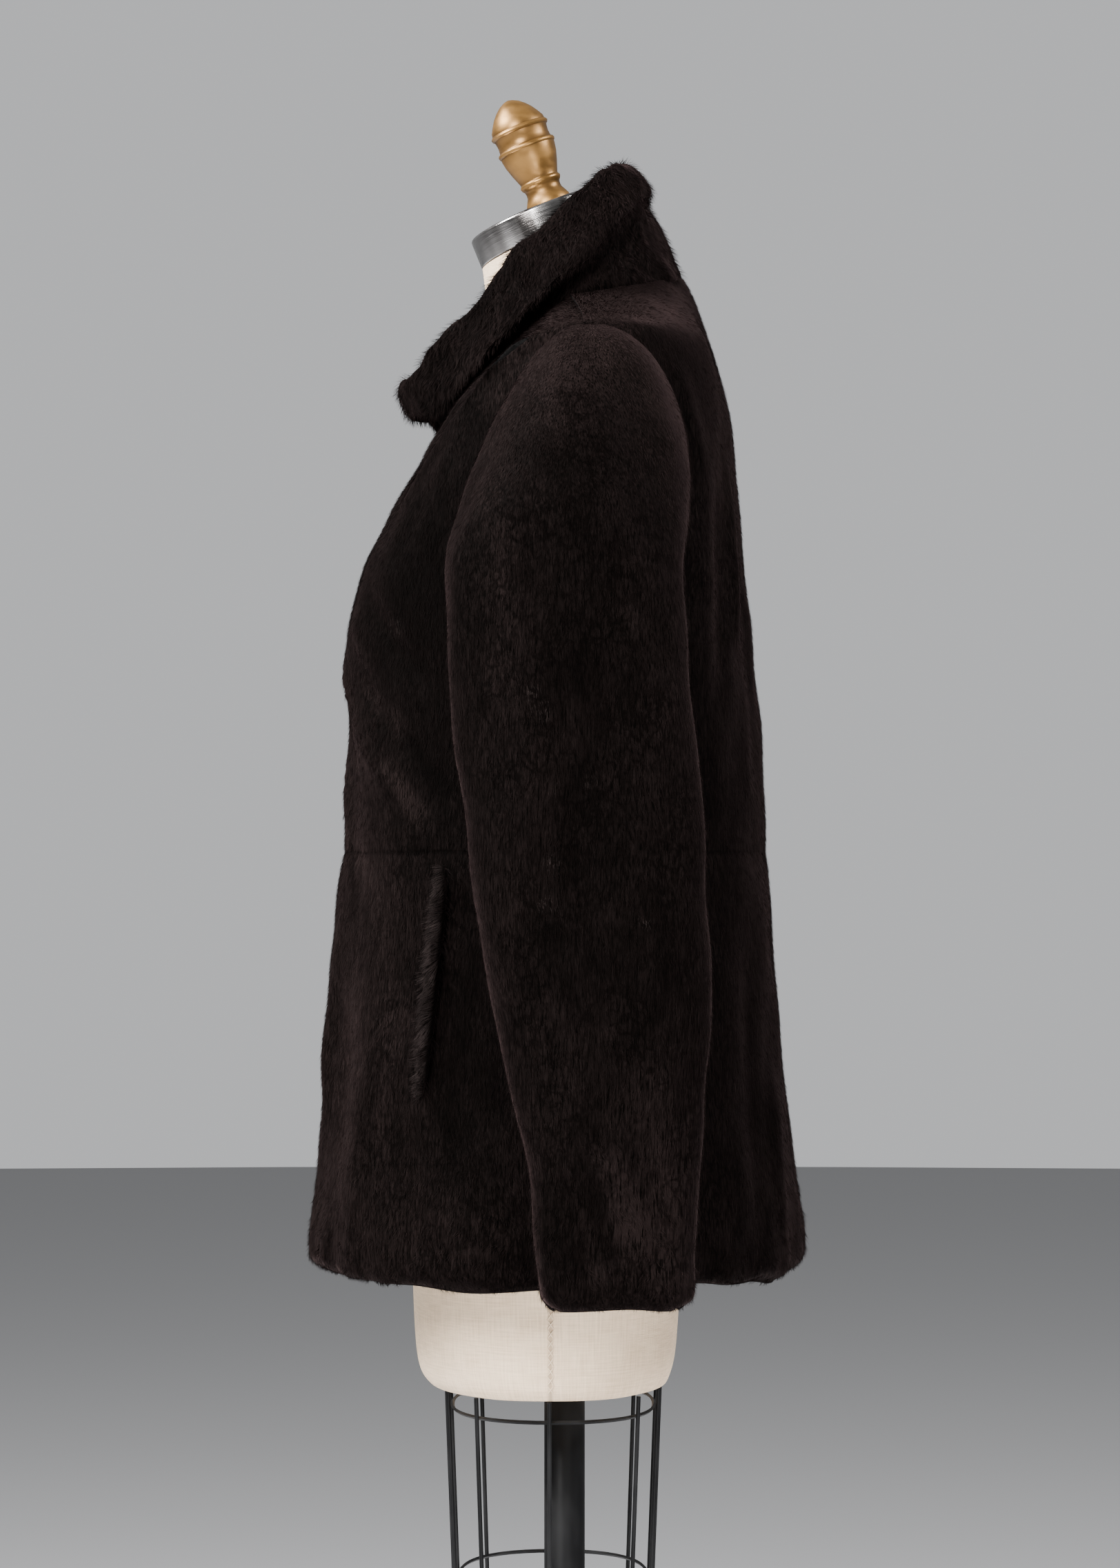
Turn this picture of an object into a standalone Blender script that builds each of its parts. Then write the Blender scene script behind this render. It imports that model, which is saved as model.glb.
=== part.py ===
"""A hip-length jacket of sheared fur with a turned-over collar, worn by a linen dress form on a stand.

Metres, +Z up. The origin is the middle of the base plate's underside. The jacket faces -Y, and the
wearer's left is +X. Cloth pieces are walls: an outer surface worked out from the garment's sizes, and an
inner one set back along its normals. Neighbouring pieces are SEAM_GAP apart.
"""

import math

import bmesh
import bpy
import numpy as np
from mathutils import Matrix, Vector

# ---------------------------------------------------------------- driving sizes
SEAM_GAP = 0.0003
FUR_WALL = 0.009  # pelt and sheared pile
HEM_WALL = 0.016  # the pelt is turned up inside the hem
CUFF_WALL = 0.014
COLLAR_WALL = 0.0082  # pelt on both faces
EDGE_ROUND = 0.013  # radius of the turned hem and cuff edges

HEM_Z = 0.7505
WAIST_Z = 1.025  # seam between the bodice and the skirt of the jacket
SEAM_DIP = 0.0014  # how deep the waist seam pulls the pile in
SEAM_REACH = 0.007
PIT_Z = 1.155  # bottom of the armhole
SHOULDER_Z = 1.362  # top of the armhole, at the shoulder point
CHEST_Z, BLADE_Z = 1.268, 1.360  # centre front and centre back of the shoulder-point section
NECK_FRONT_Z, NECK_SIDE_Z, NECK_BACK_Z = 1.300, 1.390, 1.405
SHOULDER_BOW, NECK_BOW = 2.0, 1.25  # how late a section's height leaves the side for the front
ARMHOLE_HALF_DEPTH = 0.071

CUFF_Z = 0.744
SLEEVE_SWELL, SLEEVE_DROP = 0.20, 0.42  # how the sleeve head spreads and falls as it leaves the armhole
SLEEVE_HEAD_PULL = 0.62  # how far it runs on outwards before it turns down
SLEEVE_SEAM_DEG = 72  # of the two seams, either way round from the side that faces the body
SLEEVE_SEAM_GAP = 0.00034

LEAN = math.radians(22)  # the neck, its cap and the finial lean forward
FORM_BOTTOM_Z = 0.673
CAP_HALF_WIDTH, CAP_HALF_DEPTH, CAP_HEIGHT = 0.054, 0.048, 0.020
NECK_TOP_CENTRE = (0.0, -0.0105, 1.4323)
FINIAL_SET_BACK = 0.0100  # from the middle of the cap, along its top

POLE_RADIUS = 0.0135
BASE_RADIUS, BASE_HEIGHT = 0.215, 0.012
HUB_RADIUS, HUB_TOP_RADIUS, HUB_HEIGHT = 0.036, 0.019, 0.055

CAGE_TOP_HALF = (0.134, 0.0710)  # half width and half depth where the wires meet the form
CAGE_LOW_HALF = (0.108, 0.0605)
CAGE_MIDDLE_Y = -0.0075
CAGE_LOW_Z = 0.400
CAGE_RING_Z = (0.659, 0.545, 0.406)
CAGE_SQUARENESS = 2.4
WIRE_RADIUS, RING_RADIUS = 0.0017, 0.0013
WIRE_DEG = (0, 30, 65, 89, 120, 150, 180, 210, 240, 271, 295, 330)

# Outline of the jacket's outer surface, from the side and from the front: height, then place.
FRONT_Y = (
    (0.7505, -0.1712), (0.770, -0.1708), (0.800, -0.1660), (0.850, -0.1603), (0.900, -0.1578),
    (0.950, -0.1550), (0.990, -0.1508), (1.025, -0.1480), (1.050, -0.1458), (1.100, -0.1434),
    (1.150, -0.1422), (1.180, -0.1408), (1.210, -0.1345), (1.233, -0.1240), (1.256, -0.1103),
    (1.279, -0.0963), (1.300, -0.0845), (1.320, -0.0750),
)
BACK_Y = (
    (0.7505, 0.1622), (0.770, 0.1610), (0.800, 0.1575), (0.850, 0.1520), (0.900, 0.1470),
    (0.950, 0.1420), (0.990, 0.1378), (1.025, 0.1354), (1.050, 0.1338), (1.100, 0.1315),
    (1.150, 0.1270), (1.200, 0.1222), (1.250, 0.1163), (1.300, 0.1118), (1.325, 0.1085),
    (1.348, 0.1030), (1.371, 0.0950), (1.394, 0.0862), (1.405, 0.0808),
)
SIDE_X = (
    (0.7505, 0.2370), (0.800, 0.2330), (0.850, 0.2280), (0.930, 0.2190), (1.025, 0.2100),
    (1.080, 0.2058), (1.150, 0.2040), (1.250, 0.2060), (1.325, 0.2060), (1.350, 0.2035),
    (1.362, 0.1970), (1.3658, 0.1860), (1.3700, 0.1700), (1.3768, 0.1440), (1.3832, 0.1170),
    (1.390, 0.0885),
)
SIDE_Y = (
    (0.7505, -0.0040), (0.950, -0.0020), (1.025, 0.0000), (1.150, 0.0050), (1.250, 0.0080),
    (1.350, 0.0150), (1.370, 0.0130), (1.390, 0.0060),
)
SQUARENESS = ((0.7505, 2.15), (1.025, 2.30), (1.150, 2.40), (1.300, 2.25), (1.390, 2.05))

# Soft folds: angle from centre front and height at both ends, half width, and depth (+ ridge, - trough).
FOLDS = (
    # name             top_deg top_z  low_deg low_z  half_w  depth
    ("bust_left",         34, 1.235,    28, 1.090, 0.050,  0.0050),
    ("bust_right",       -34, 1.235,   -28, 1.090, 0.050,  0.0050),
    ("drape_left",        20, 1.180,    72, 0.985, 0.026,  0.0050),
    ("drape_left_under",   6, 1.140,    52, 0.940, 0.026, -0.0045),
    ("drape_right",      -22, 1.170,   -70, 0.990, 0.026,  0.0044),
    ("drape_right_under", -8, 1.130,   -50, 0.945, 0.026, -0.0040),
    ("skirt_left_1",      14, 1.010,    10, 0.790, 0.025,  0.0044),
    ("skirt_left_2",      33, 0.985,    30, 0.800, 0.026, -0.0046),
    ("skirt_left_3",      52, 0.960,    50, 0.750, 0.027,  0.0052),
    ("skirt_right_1",    -14, 1.000,   -12, 0.780, 0.025,  0.0040),
    ("skirt_right_2",    -33, 0.990,   -29, 0.800, 0.026, -0.0046),
    ("skirt_right_3",    -53, 0.960,   -48, 0.750, 0.027,  0.0050),
    ("side_left",         84, 1.120,    92, 0.760, 0.028, -0.0040),
    ("side_right",       -82, 1.100,   -90, 0.765, 0.028, -0.0040),
    ("back_left_1",      118, 1.310,   112, 1.050, 0.026,  0.0055),
    ("back_left_2",      138, 1.290,   133, 1.070, 0.028, -0.0042),
    ("back_right_1",    -120, 1.305,  -114, 1.050, 0.026,  0.0052),
    ("back_right_2",    -140, 1.290,  -134, 1.080, 0.028, -0.0042),
    ("tail_left_1",      120, 0.980,   116, 0.750, 0.028,  0.0052),
    ("tail_left_2",      144, 0.960,   142, 0.750, 0.027, -0.0044),
    ("tail_middle",      176, 1.000,   178, 0.750, 0.026, -0.0030),
    ("tail_right_1",    -122, 0.980,  -117, 0.750, 0.028,  0.0050),
    ("tail_right_2",    -146, 0.955,  -141, 0.750, 0.027, -0.0044),
)

# Sleeve sections: height of the middle, how far the inner side hangs below it, middle, half sizes.
SLEEVE = (
    # z       tilt    x       y       half_x  half_y
    (1.180, 0.034, 0.2495, -0.0010, 0.0430, 0.0803),
    (1.120, 0.018, 0.2560,  0.0032, 0.0425, 0.0787),
    (1.058, 0.006, 0.2625,  0.0105, 0.0420, 0.0783),
    (0.996, 0.000, 0.2680,  0.0156, 0.0412, 0.0773),
    (0.934, 0.000, 0.2725,  0.0219, 0.0400, 0.0720),
    (0.872, 0.000, 0.2762,  0.0281, 0.0385, 0.0622),
    (0.835, 0.000, 0.2780,  0.0295, 0.0375, 0.0559),
    (0.797, 0.000, 0.2795,  0.0308, 0.0366, 0.0520),
    (0.744, 0.000, 0.2805,  0.0312, 0.0362, 0.0508),
)
# Folds of the sleeve: angle round it (0 inner, 90 front, 180 outer, 270 back) and height at both ends.
SLEEVE_FOLDS = (
    # name          top_deg top_z  low_deg low_z  half_w  depth
    ("front_roll",     118, 1.230,   112, 0.960, 0.016, 0.0030),
    ("middle_hollow",  176, 1.180,   186, 0.930, 0.020, -0.0034),
    ("elbow_back",     238, 1.060,   226, 0.850, 0.018, 0.0034),
    ("forearm_back",   236, 0.885,   205, 0.748, 0.014, 0.0042),
    ("forearm_dip",    196, 0.880,   176, 0.760, 0.014, -0.0034),
    ("inner_hollow",    20, 1.080,    10, 0.800, 0.022, -0.0030),
)

# Collar's middle line, by angle from centre front: the middle of its roll and the end of its fall.
COLLAR = (
    # deg   roll_r  roll_z  edge_r  edge_z
    (4,   0.1060, 1.3310, 0.1045, 1.3165),
    (18,  0.1030, 1.3360, 0.1010, 1.3152),
    (30,  0.0960, 1.3515, 0.0965, 1.3160),
    (45,  0.0865, 1.3725, 0.0980, 1.3280),
    (60,  0.0795, 1.4010, 0.1005, 1.3500),
    (75,  0.0750, 1.4250, 0.1010, 1.3760),
    (90,  0.0715, 1.4432, 0.0975, 1.4000),
    (105, 0.0680, 1.4578, 0.0910, 1.4245),
    (120, 0.0620, 1.4690, 0.0830, 1.4440),
    (135, 0.0548, 1.4715, 0.0742, 1.4570),
    (150, 0.0482, 1.4715, 0.0645, 1.4620),
    (165, 0.0432, 1.4712, 0.0572, 1.4642),
    (180, 0.0412, 1.4705, 0.0542, 1.4648),
    (195, 0.0432, 1.4712, 0.0572, 1.4642),
)
COLLAR_END_DEG = 7.5
COLLAR_END_ROUND = 0.0032  # how much thinner the rounded ends are
COLLAR_STATIONS = 46  # one for each column of the body at the neckline
ROLL_RADIUS = 0.0057  # of the middle line where it turns over
ROLL_LEAD_DEG = 28  # how soon before its side the stand meets the roll

# Pocket mouth on each side of the skirt: its bound edge stands proud along a slanting slit.
POCKET_TOP_DEG, POCKET_LOW_DEG = 68.6, 66.2
POCKET_TOP_Z, POCKET_LOW_Z = 1.0170, 0.8710
POCKET_HALF_WIDTH, POCKET_HEIGHT = 0.0062, 0.0048

# Dress form, outer surface: level sections up to the bust.
FORM_ROWS = (
    # height  front_y  back_y  side_x
    (0.6745, -0.0890, 0.0680, 0.1400),
    (0.6800, -0.0950, 0.0705, 0.1475),
    (0.6920, -0.0985, 0.0740, 0.1520),
    (0.7200, -0.1003, 0.0758, 0.1560),
    (0.7600, -0.1015, 0.0785, 0.1590),
    (0.8400, -0.1040, 0.0890, 0.1640),
    (0.9300, -0.0960, 0.0780, 0.1470),
    (1.0300, -0.0830, 0.0640, 0.1210),
    (1.1000, -0.0990, 0.0730, 0.1340),
    (1.1650, -0.1230, 0.0850, 0.1500),
)
# Upper sections: heights at front, side and back, then places there.
FORM_CHEST_ROWS = (
    # front_z side_z  back_z  front_y  back_y  side_x
    (1.2080, 1.2300, 1.2300, -0.1150, 0.0930, 0.1600),
    (1.2440, 1.2950, 1.2950, -0.1000, 0.0960, 0.1740),
)
FORM_NECK_SHARES = (0.22, 0.5, 0.76, 1.0)  # from the neckline up to the neck's top
FORM_CLEARANCE = 0.0022  # under the jacket's wall
FORM_MIDDLE_Y = -0.0095
FORM_BOTTOM_INSET = 0.002  # of the flat underside from the first level section

# Finial, turned: height above the neck cap and radius.
FINIAL = (
    (0.0000, 0.0155), (0.0030, 0.0155), (0.0060, 0.0150), (0.0085, 0.0138), (0.0115, 0.0122),
    (0.0140, 0.0120), (0.0165, 0.0128), (0.0178, 0.0138), (0.0189, 0.0142), (0.0200, 0.0137),
    (0.0214, 0.0133), (0.0250, 0.0145), (0.0290, 0.0160), (0.0355, 0.0180), (0.0405, 0.0189),
    (0.0424, 0.0191), (0.0438, 0.0200), (0.0450, 0.0194), (0.0460, 0.0183), (0.0495, 0.0178),
    (0.0530, 0.0182), (0.0550, 0.0194), (0.0564, 0.0201), (0.0577, 0.0193), (0.0605, 0.0184),
    (0.0645, 0.0162), (0.0685, 0.0136), (0.0720, 0.0105), (0.0750, 0.0070), (0.0769, 0.0034),
)
FINIAL_HEIGHT = 0.0777

# Mesh fineness
FRONT_COLUMNS, BACK_COLUMNS = 12, 24
ARMHOLE_STEPS = 10  # rows up the armhole, and half the columns round the sleeve
HEM_ROUNDING = (0.0, 0.0022, 0.0070, 0.0150)  # heights of the rows that round the hem
CUFF_ROUNDING = (0.0, 0.0022, 0.0070, 0.0150)
SKIRT_ROWS, CHEST_ROWS, SLEEVE_ROWS = 7, 4, 8
SLEEVE_HEAD_SHARES = (0.82, 0.64, 0.46, 0.30, 0.15, 0.0)
YOKE_SHARES = (0.12, 0.36, 0.68, 1.0)  # rows between the shoulder point and the neckline
FORM_COLUMNS = 28


# ---------------------------------------------------------------- curves and sections
def along(table, value, column=1):
    """A smooth curve through a table's rows, read at value; its ends run level."""
    xs = np.array([row[0] for row in table])
    ys = np.array([row[column] for row in table])
    value = np.clip(value, xs[0], xs[-1])
    slopes = np.gradient(ys, xs)
    k = np.clip(np.searchsorted(xs, value) - 1, 0, len(xs) - 2)
    h = xs[k + 1] - xs[k]
    t = (value - xs[k]) / h
    return (
        ys[k] * (1 + 2 * t) * (1 - t) ** 2
        + slopes[k] * h * t * (1 - t) ** 2
        + ys[k + 1] * t * t * (3 - 2 * t)
        - slopes[k + 1] * h * t * t * (1 - t)
    )


def hermite(start, start_tangent, end, end_tangent, t):
    """A cubic from start to end that leaves and arrives along the tangents."""
    return (
        start * (1 + 2 * t) * (1 - t) ** 2
        + start_tangent * t * (1 - t) ** 2
        + end * t * t * (3 - 2 * t)
        - end_tangent * t * t * (1 - t)
    )


def unit(vector):
    return vector / np.linalg.norm(vector)


def oval_reach(angle, half_width, half_depth, squareness):
    """Distance from the middle of a rounded oval to its edge; angle 0 looks along its depth."""
    across = abs(math.sin(angle)) / half_width
    deep = abs(math.cos(angle)) / half_depth
    return (across**squareness + deep**squareness) ** (-1 / squareness)


def edge_inset(height_above_edge):
    """How far a turned edge has rounded in, by height above the edge."""
    left = EDGE_ROUND - height_above_edge
    if left <= 0:
        return 0.0
    return EDGE_ROUND - math.sqrt(max(EDGE_ROUND**2 - left**2, 0.0)) * 0.999


def fold_height(folds, angle_deg, z, radius, period=360):
    """The sum of the folds' ridges and troughs at one place."""
    total = 0.0
    for _, top_deg, top_z, low_deg, low_z, half_width, depth in folds:
        share = (top_z - z) / (top_z - low_z)
        if not 0 < share < 1:
            continue
        middle = top_deg + (low_deg - top_deg) * share
        off = (angle_deg - middle + period / 2) % period - period / 2
        across = math.radians(off) * radius / half_width
        total += depth * math.sin(math.pi * share) ** 0.7 * math.exp(-across * across)
    return total


# ---------------------------------------------------------------- the jacket's body
class Section:
    """A ring round the body. It may lie level or, at the shoulders, rise from the front to the sides."""

    def __init__(self, front_z, side_z=None, back_z=None, armhole_depth=0.0, bow=SHOULDER_BOW):
        self.front_z = front_z
        self.side_z = front_z if side_z is None else side_z
        self.back_z = front_z if back_z is None else back_z
        self.armhole_depth = armhole_depth
        self.bow = bow

    def point(self, angle, turned_edge=True):
        """Where the outer surface is, at an angle from centre front towards the wearer's left."""
        edge_z = self.front_z if math.cos(angle) > 0 else self.back_z
        outline = FRONT_Y if math.cos(angle) > 0 else BACK_Y
        middle_y = along(SIDE_Y, self.side_z)
        half_depth = abs(along(outline, edge_z) - middle_y)
        half_width = along(SIDE_X, self.side_z)
        reach = oval_reach(angle, half_width, half_depth, along(SQUARENESS, self.side_z))
        share = reach * abs(math.cos(angle)) / half_depth
        z = self.side_z + (edge_z - self.side_z) * share**self.bow
        reach += fold_height(FOLDS, math.degrees(angle), z, reach)
        if turned_edge:
            reach -= edge_inset(z - HEM_Z)
        reach -= SEAM_DIP * max(0.0, 1 - abs(z - WAIST_Z) / SEAM_REACH)
        return np.array((reach * math.sin(angle), middle_y - reach * math.cos(angle), z))

    def side_edge(self, towards_back):
        """The angle at which a panel ends: at the side seam, or sooner where the armhole is."""
        side = math.pi / 2
        if self.armhole_depth <= 0:
            return side
        angle = side
        middle_y = along(SIDE_Y, self.side_z)
        for _ in range(12):
            reach = float(np.linalg.norm(self.point(angle)[:2] - (0.0, middle_y)))
            off = math.asin(min(0.95, self.armhole_depth / reach))
            angle = side + off if towards_back else side - off
        return angle


def armhole_section(phase):
    """The ring at a phase of the armhole: 0 at its bottom, pi at the shoulder point."""
    middle, half = (PIT_Z + SHOULDER_Z) / 2, (SHOULDER_Z - PIT_Z) / 2
    side_z = middle - half * math.cos(phase)
    share = (side_z - PIT_Z) / (SHOULDER_Z - PIT_Z)
    return Section(
        PIT_Z + (CHEST_Z - PIT_Z) * share,
        side_z,
        PIT_Z + (BLADE_Z - PIT_Z) * share,
        ARMHOLE_HALF_DEPTH * math.sin(phase) if 0 < phase < math.pi - 1e-6 else 0.0,
    )


def shoulder_section(share):
    """The ring a share of the way from the shoulder point to the neckline."""
    return Section(
        CHEST_Z + (NECK_FRONT_Z - CHEST_Z) * share,
        SHOULDER_Z + (NECK_SIDE_Z - SHOULDER_Z) * share,
        BLADE_Z + (NECK_BACK_Z - BLADE_Z) * share,
        bow=SHOULDER_BOW + (NECK_BOW - SHOULDER_BOW) * share,
    )


def skirt_sections():
    """From the hem up to the waist seam."""
    rows = [Section(HEM_Z + up) for up in HEM_ROUNDING]
    rows += [Section(z) for z in np.linspace(0.800, WAIST_Z - SEAM_REACH, SKIRT_ROWS)]
    return [*rows, Section(WAIST_Z - SEAM_GAP / 2)]


def bodice_sections():
    """From the waist seam up to the neckline."""
    rows = [Section(WAIST_Z + SEAM_GAP / 2)]
    rows += [Section(z) for z in np.linspace(WAIST_Z + SEAM_REACH, PIT_Z - 0.018, CHEST_ROWS)]
    steps = range(ARMHOLE_STEPS + 1)
    rows += [armhole_section(math.pi * k / ARMHOLE_STEPS) for k in steps]
    return rows + [shoulder_section(share) for share in YOKE_SHARES]


def surface_normal(section, above, below, angle):
    """The outward normal of the jacket's body before its hem is turned, from places beside one."""
    step = 0.02
    across = section.point(angle + step, False) - section.point(angle - step, False)
    up = above.point(angle, False) - below.point(angle, False)
    return unit(np.cross(across, up))


def eased_normal(sections, k, angle):
    """The normal at section k, averaged over its neighbours so that an inner surface stays even."""
    last = len(sections) - 1
    total = np.zeros(3)
    for offset, weight in ((-2, 1), (-1, 4), (0, 6), (1, 4), (2, 1)):
        i = min(max(k + offset, 0), last)
        above, below = sections[min(i + 1, last)], sections[max(i - 1, 0)]
        total += weight * surface_normal(sections[i], above, below, angle)
    return unit(total)


def wall_at(z):
    """Thickness of the body's wall: more where the hem is turned up."""
    turned = np.clip((HEM_Z + 0.045 - z) / 0.025, 0, 1)
    return FUR_WALL + (HEM_WALL - FUR_WALL) * turned * turned * (3 - 2 * turned)


def body_panel(sections, start, end, columns):
    """(outer, inner) grids of points for a panel; start and end give its edge angles by section."""
    outer, inner = [], []
    for k, section in enumerate(sections):
        left_edge, right_edge = start(section), end(section)
        angles = [left_edge + (right_edge - left_edge) * j / columns for j in range(columns + 1)]
        outer.append([section.point(angle) for angle in angles])
        flat = [section.point(angle, False) for angle in angles]
        normals = [eased_normal(sections, k, angle) for angle in angles]
        inner.append([place - normal * wall_at(place[2]) for place, normal in zip(flat, normals)])
    return np.array(outer), np.array(inner)


# ---------------------------------------------------------------- sleeves
def armhole_point(phase):
    """The armhole's edge on the outer surface, and the panel's normal there; phase runs 0 to 2 pi."""
    behind = phase > math.pi
    folded = 2 * math.pi - phase if behind else phase
    section = armhole_section(folded)
    return section.point(section.side_edge(behind))


def sleeve_section_point(phase, z_share, turned_edge=True):
    """A point of the sleeve below its head; z_share 0 is its first listed section and 1 the cuff."""
    heights = [row[0] for row in SLEEVE]
    z = heights[0] + (heights[-1] - heights[0]) * z_share
    flipped = [(-row[0], *row[1:]) for row in SLEEVE]
    tilt, x, y, half_x, half_y = (along(flipped, -z, k) for k in range(1, 6))
    reach = oval_reach(phase, half_y, half_x, 2.25)
    reach += fold_height(SLEEVE_FOLDS, math.degrees(phase), z, reach)
    if turned_edge:
        reach -= edge_inset(z - CUFF_Z)
    place = np.array((x - reach * math.cos(phase), y - reach * math.sin(phase), z))
    place[2] -= tilt * math.cos(phase)
    return place


def sleeve_head_point(phase, share):
    """A point between the armhole, share 0, and the first listed section, share 1."""
    upper = (1 - math.cos(phase)) / 2
    radial = np.array((0.0, -math.sin(phase), -math.cos(phase)))
    leave = unit(np.array((1.0, 0.0, -SLEEVE_DROP * upper)) + radial * SLEEVE_SWELL)
    start = armhole_point(phase) + leave * SEAM_GAP
    end = sleeve_section_point(phase, 0.0)
    length = np.linalg.norm(end - start)
    down = unit(sleeve_section_point(phase, 0.05) - end)
    return hermite(start, leave * length * SLEEVE_HEAD_PULL, end, down * length, share)


def sleeve_grid(turned_edge):
    """Points of the left sleeve, from the cuff up to the armhole, before or after its cuff is turned."""
    phases = [math.pi * k / ARMHOLE_STEPS for k in range(2 * ARMHOLE_STEPS)]
    length = SLEEVE[0][0] - CUFF_Z
    cuff = [1 - up / length for up in CUFF_ROUNDING]
    below = cuff + list(np.linspace(1 - 0.045 / length, 0.0, SLEEVE_ROWS))
    rows = [[sleeve_section_point(phase, share, turned_edge) for phase in phases] for share in below]
    for share in SLEEVE_HEAD_SHARES:
        rows.append([sleeve_head_point(phase, share) for phase in phases])
    return np.array(rows)


def sleeve_grids():
    """(outer, inner) grids of the left sleeve."""
    outer, flat = sleeve_grid(True), sleeve_grid(False)
    inner = np.empty_like(flat)
    last, around = len(flat) - 1, len(flat[0])
    for i in range(len(flat)):
        wall = CUFF_WALL if flat[i, 0, 2] < CUFF_Z + 0.03 else FUR_WALL
        for j in range(around):
            across = flat[i, (j + 1) % around] - flat[i, j - 1]
            up = flat[min(i + 1, last), j] - flat[max(i - 1, 0), j]
            inner[i, j] = flat[i, j] + unit(np.cross(up, across)) * wall
    return outer, inner


# ---------------------------------------------------------------- collar
def collar_profile(angle, outer_edge, inner_edge, rise, thinner):
    """The closed outline of the collar's section at an angle, standing on the neckline's two edges."""
    out = np.array((math.sin(angle), -math.cos(angle), 0.0))
    up = np.array((0.0, 0.0, 1.0))
    degrees = abs((math.degrees(angle) + 180) % 360 - 180)
    roll_r, roll_z, edge_r, edge_z = (along(COLLAR, degrees, k) for k in range(1, 5))
    half = COLLAR_WALL / 2 - thinner
    foot = (outer_edge + inner_edge) / 2 + rise * SEAM_GAP
    roll = out * roll_r + up * roll_z
    edge = out * edge_r + up * edge_z

    # the fall leaves the roll along a tangent that ends at the edge
    drop = unit(edge - roll)
    outwards = unit(out - drop * np.dot(out, drop))
    bend = math.asin(ROLL_RADIUS / np.linalg.norm(edge - roll))
    side = outwards * math.cos(bend) + drop * math.sin(bend)
    fall = drop * math.cos(bend) - outwards * math.sin(bend)

    lead = math.radians(-ROLL_LEAD_DEG)
    stand_top = roll - (side * math.cos(lead) + fall * math.sin(lead)) * ROLL_RADIUS
    arrive = side * math.sin(lead) - fall * math.cos(lead)
    height = np.linalg.norm(stand_top - foot)
    leave = unit(rise + up * 0.4)
    middle = [
        hermite(foot, leave * height * 0.7, stand_top, arrive * height * 0.8, t)
        for t in (0.0, 0.22, 0.46, 0.74)
    ]
    for turn in (-ROLL_LEAD_DEG, 30, 80, 130, 180):
        a = math.radians(turn)
        middle.append(roll - (side * math.cos(a) + fall * math.sin(a)) * ROLL_RADIUS)
    fall_top = middle[-1]
    middle += [fall_top + (edge - fall_top) * t for t in (0.5, 1.0)]

    outside = [outer_edge + (inner_edge - outer_edge) * thinner / FUR_WALL + rise * SEAM_GAP]
    inside = [inner_edge + (outer_edge - inner_edge) * thinner / FUR_WALL + rise * SEAM_GAP]
    for k in range(1, len(middle)):
        ahead = middle[min(k + 1, len(middle) - 1)] - middle[k - 1]
        across = unit(np.cross(np.cross(out, up), unit(ahead)))
        outside.append(middle[k] - across * half)
        inside.append(middle[k] + across * half)
    tip = middle[-1] + fall * half
    return [*outside, tip, *reversed(inside)]


def collar_rings(neck_rim):
    """Sections round the neck; neck_rim lists (outer edge, inner edge, point below) by column."""
    rings = []
    step = (360 - 2 * COLLAR_END_DEG) / COLLAR_STATIONS
    for k, (outer_edge, inner_edge, below) in enumerate(neck_rim):
        before, after = neck_rim[max(k - 1, 0)][0], neck_rim[min(k + 1, COLLAR_STATIONS)][0]
        rise = unit(np.cross(outer_edge - inner_edge, after - before))
        if np.dot(rise, outer_edge - below) < 0:
            rise = -rise
        angle = math.radians(COLLAR_END_DEG + step * k)
        rings.append(collar_profile(angle, outer_edge, inner_edge, rise, 0.0))
        if k in (0, COLLAR_STATIONS):
            end_angle = math.radians(angle_beyond_end(k))
            turned = Matrix.Rotation(end_angle - angle, 3, "Z")
            edges = [np.array(turned @ Vector(p)) for p in (outer_edge, inner_edge, rise)]
            ring = collar_profile(end_angle, *edges, COLLAR_END_ROUND)
            rings.insert(0 if k == 0 else len(rings), ring)
    return np.array(rings)


def angle_beyond_end(k):
    return COLLAR_END_DEG - 2.2 if k == 0 else 360 - COLLAR_END_DEG + 2.2


# ---------------------------------------------------------------- solids from grids
def material(name, colour, roughness, metallic=0.0):
    made = bpy.data.materials.new(name)
    made.use_nodes = True
    shader = made.node_tree.nodes["Principled BSDF"]
    shader.inputs["Base Color"].default_value = (*colour, 1.0)
    shader.inputs["Roughness"].default_value = roughness
    shader.inputs["Metallic"].default_value = metallic
    made.diffuse_color = (*colour, 1.0)
    return made


def add_object(name, bm, finish, sharp_deg=40):
    """Turns a bmesh into a smooth-shaded object with one material."""
    bmesh.ops.recalc_face_normals(bm, faces=bm.faces)
    mesh = bpy.data.meshes.new(name)
    bm.to_mesh(mesh)
    bm.free()
    mesh.shade_smooth()
    mesh.set_sharp_from_angle(angle=math.radians(sharp_deg))
    mesh.materials.append(finish)
    placed = bpy.data.objects.new(name, mesh)
    bpy.context.scene.collection.objects.link(placed)
    return placed


def wall_solid(name, outer, inner, finish, mirror=False):
    """A cloth wall between two grids of points."""
    bm = bmesh.new()
    flip = np.array((-1.0, 1.0, 1.0)) if mirror else np.ones(3)
    out = [[bm.verts.new(p * flip) for p in row] for row in outer]
    back = [[bm.verts.new(p * flip) for p in row] for row in inner]
    rows, columns = len(out), len(out[0])
    for i in range(rows - 1):
        for j in range(columns - 1):
            bm.faces.new((out[i][j], out[i][j + 1], out[i + 1][j + 1], out[i + 1][j]))
            bm.faces.new((back[i][j + 1], back[i][j], back[i + 1][j], back[i + 1][j + 1]))
    for i in (0, rows - 1):
        for j in range(columns - 1):
            bm.faces.new((out[i][j + 1], out[i][j], back[i][j], back[i][j + 1]))
    for j in (0, columns - 1):
        for i in range(rows - 1):
            bm.faces.new((out[i][j], out[i + 1][j], back[i + 1][j], back[i][j]))
    return add_object(name, bm, finish, sharp_deg=60)


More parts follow.
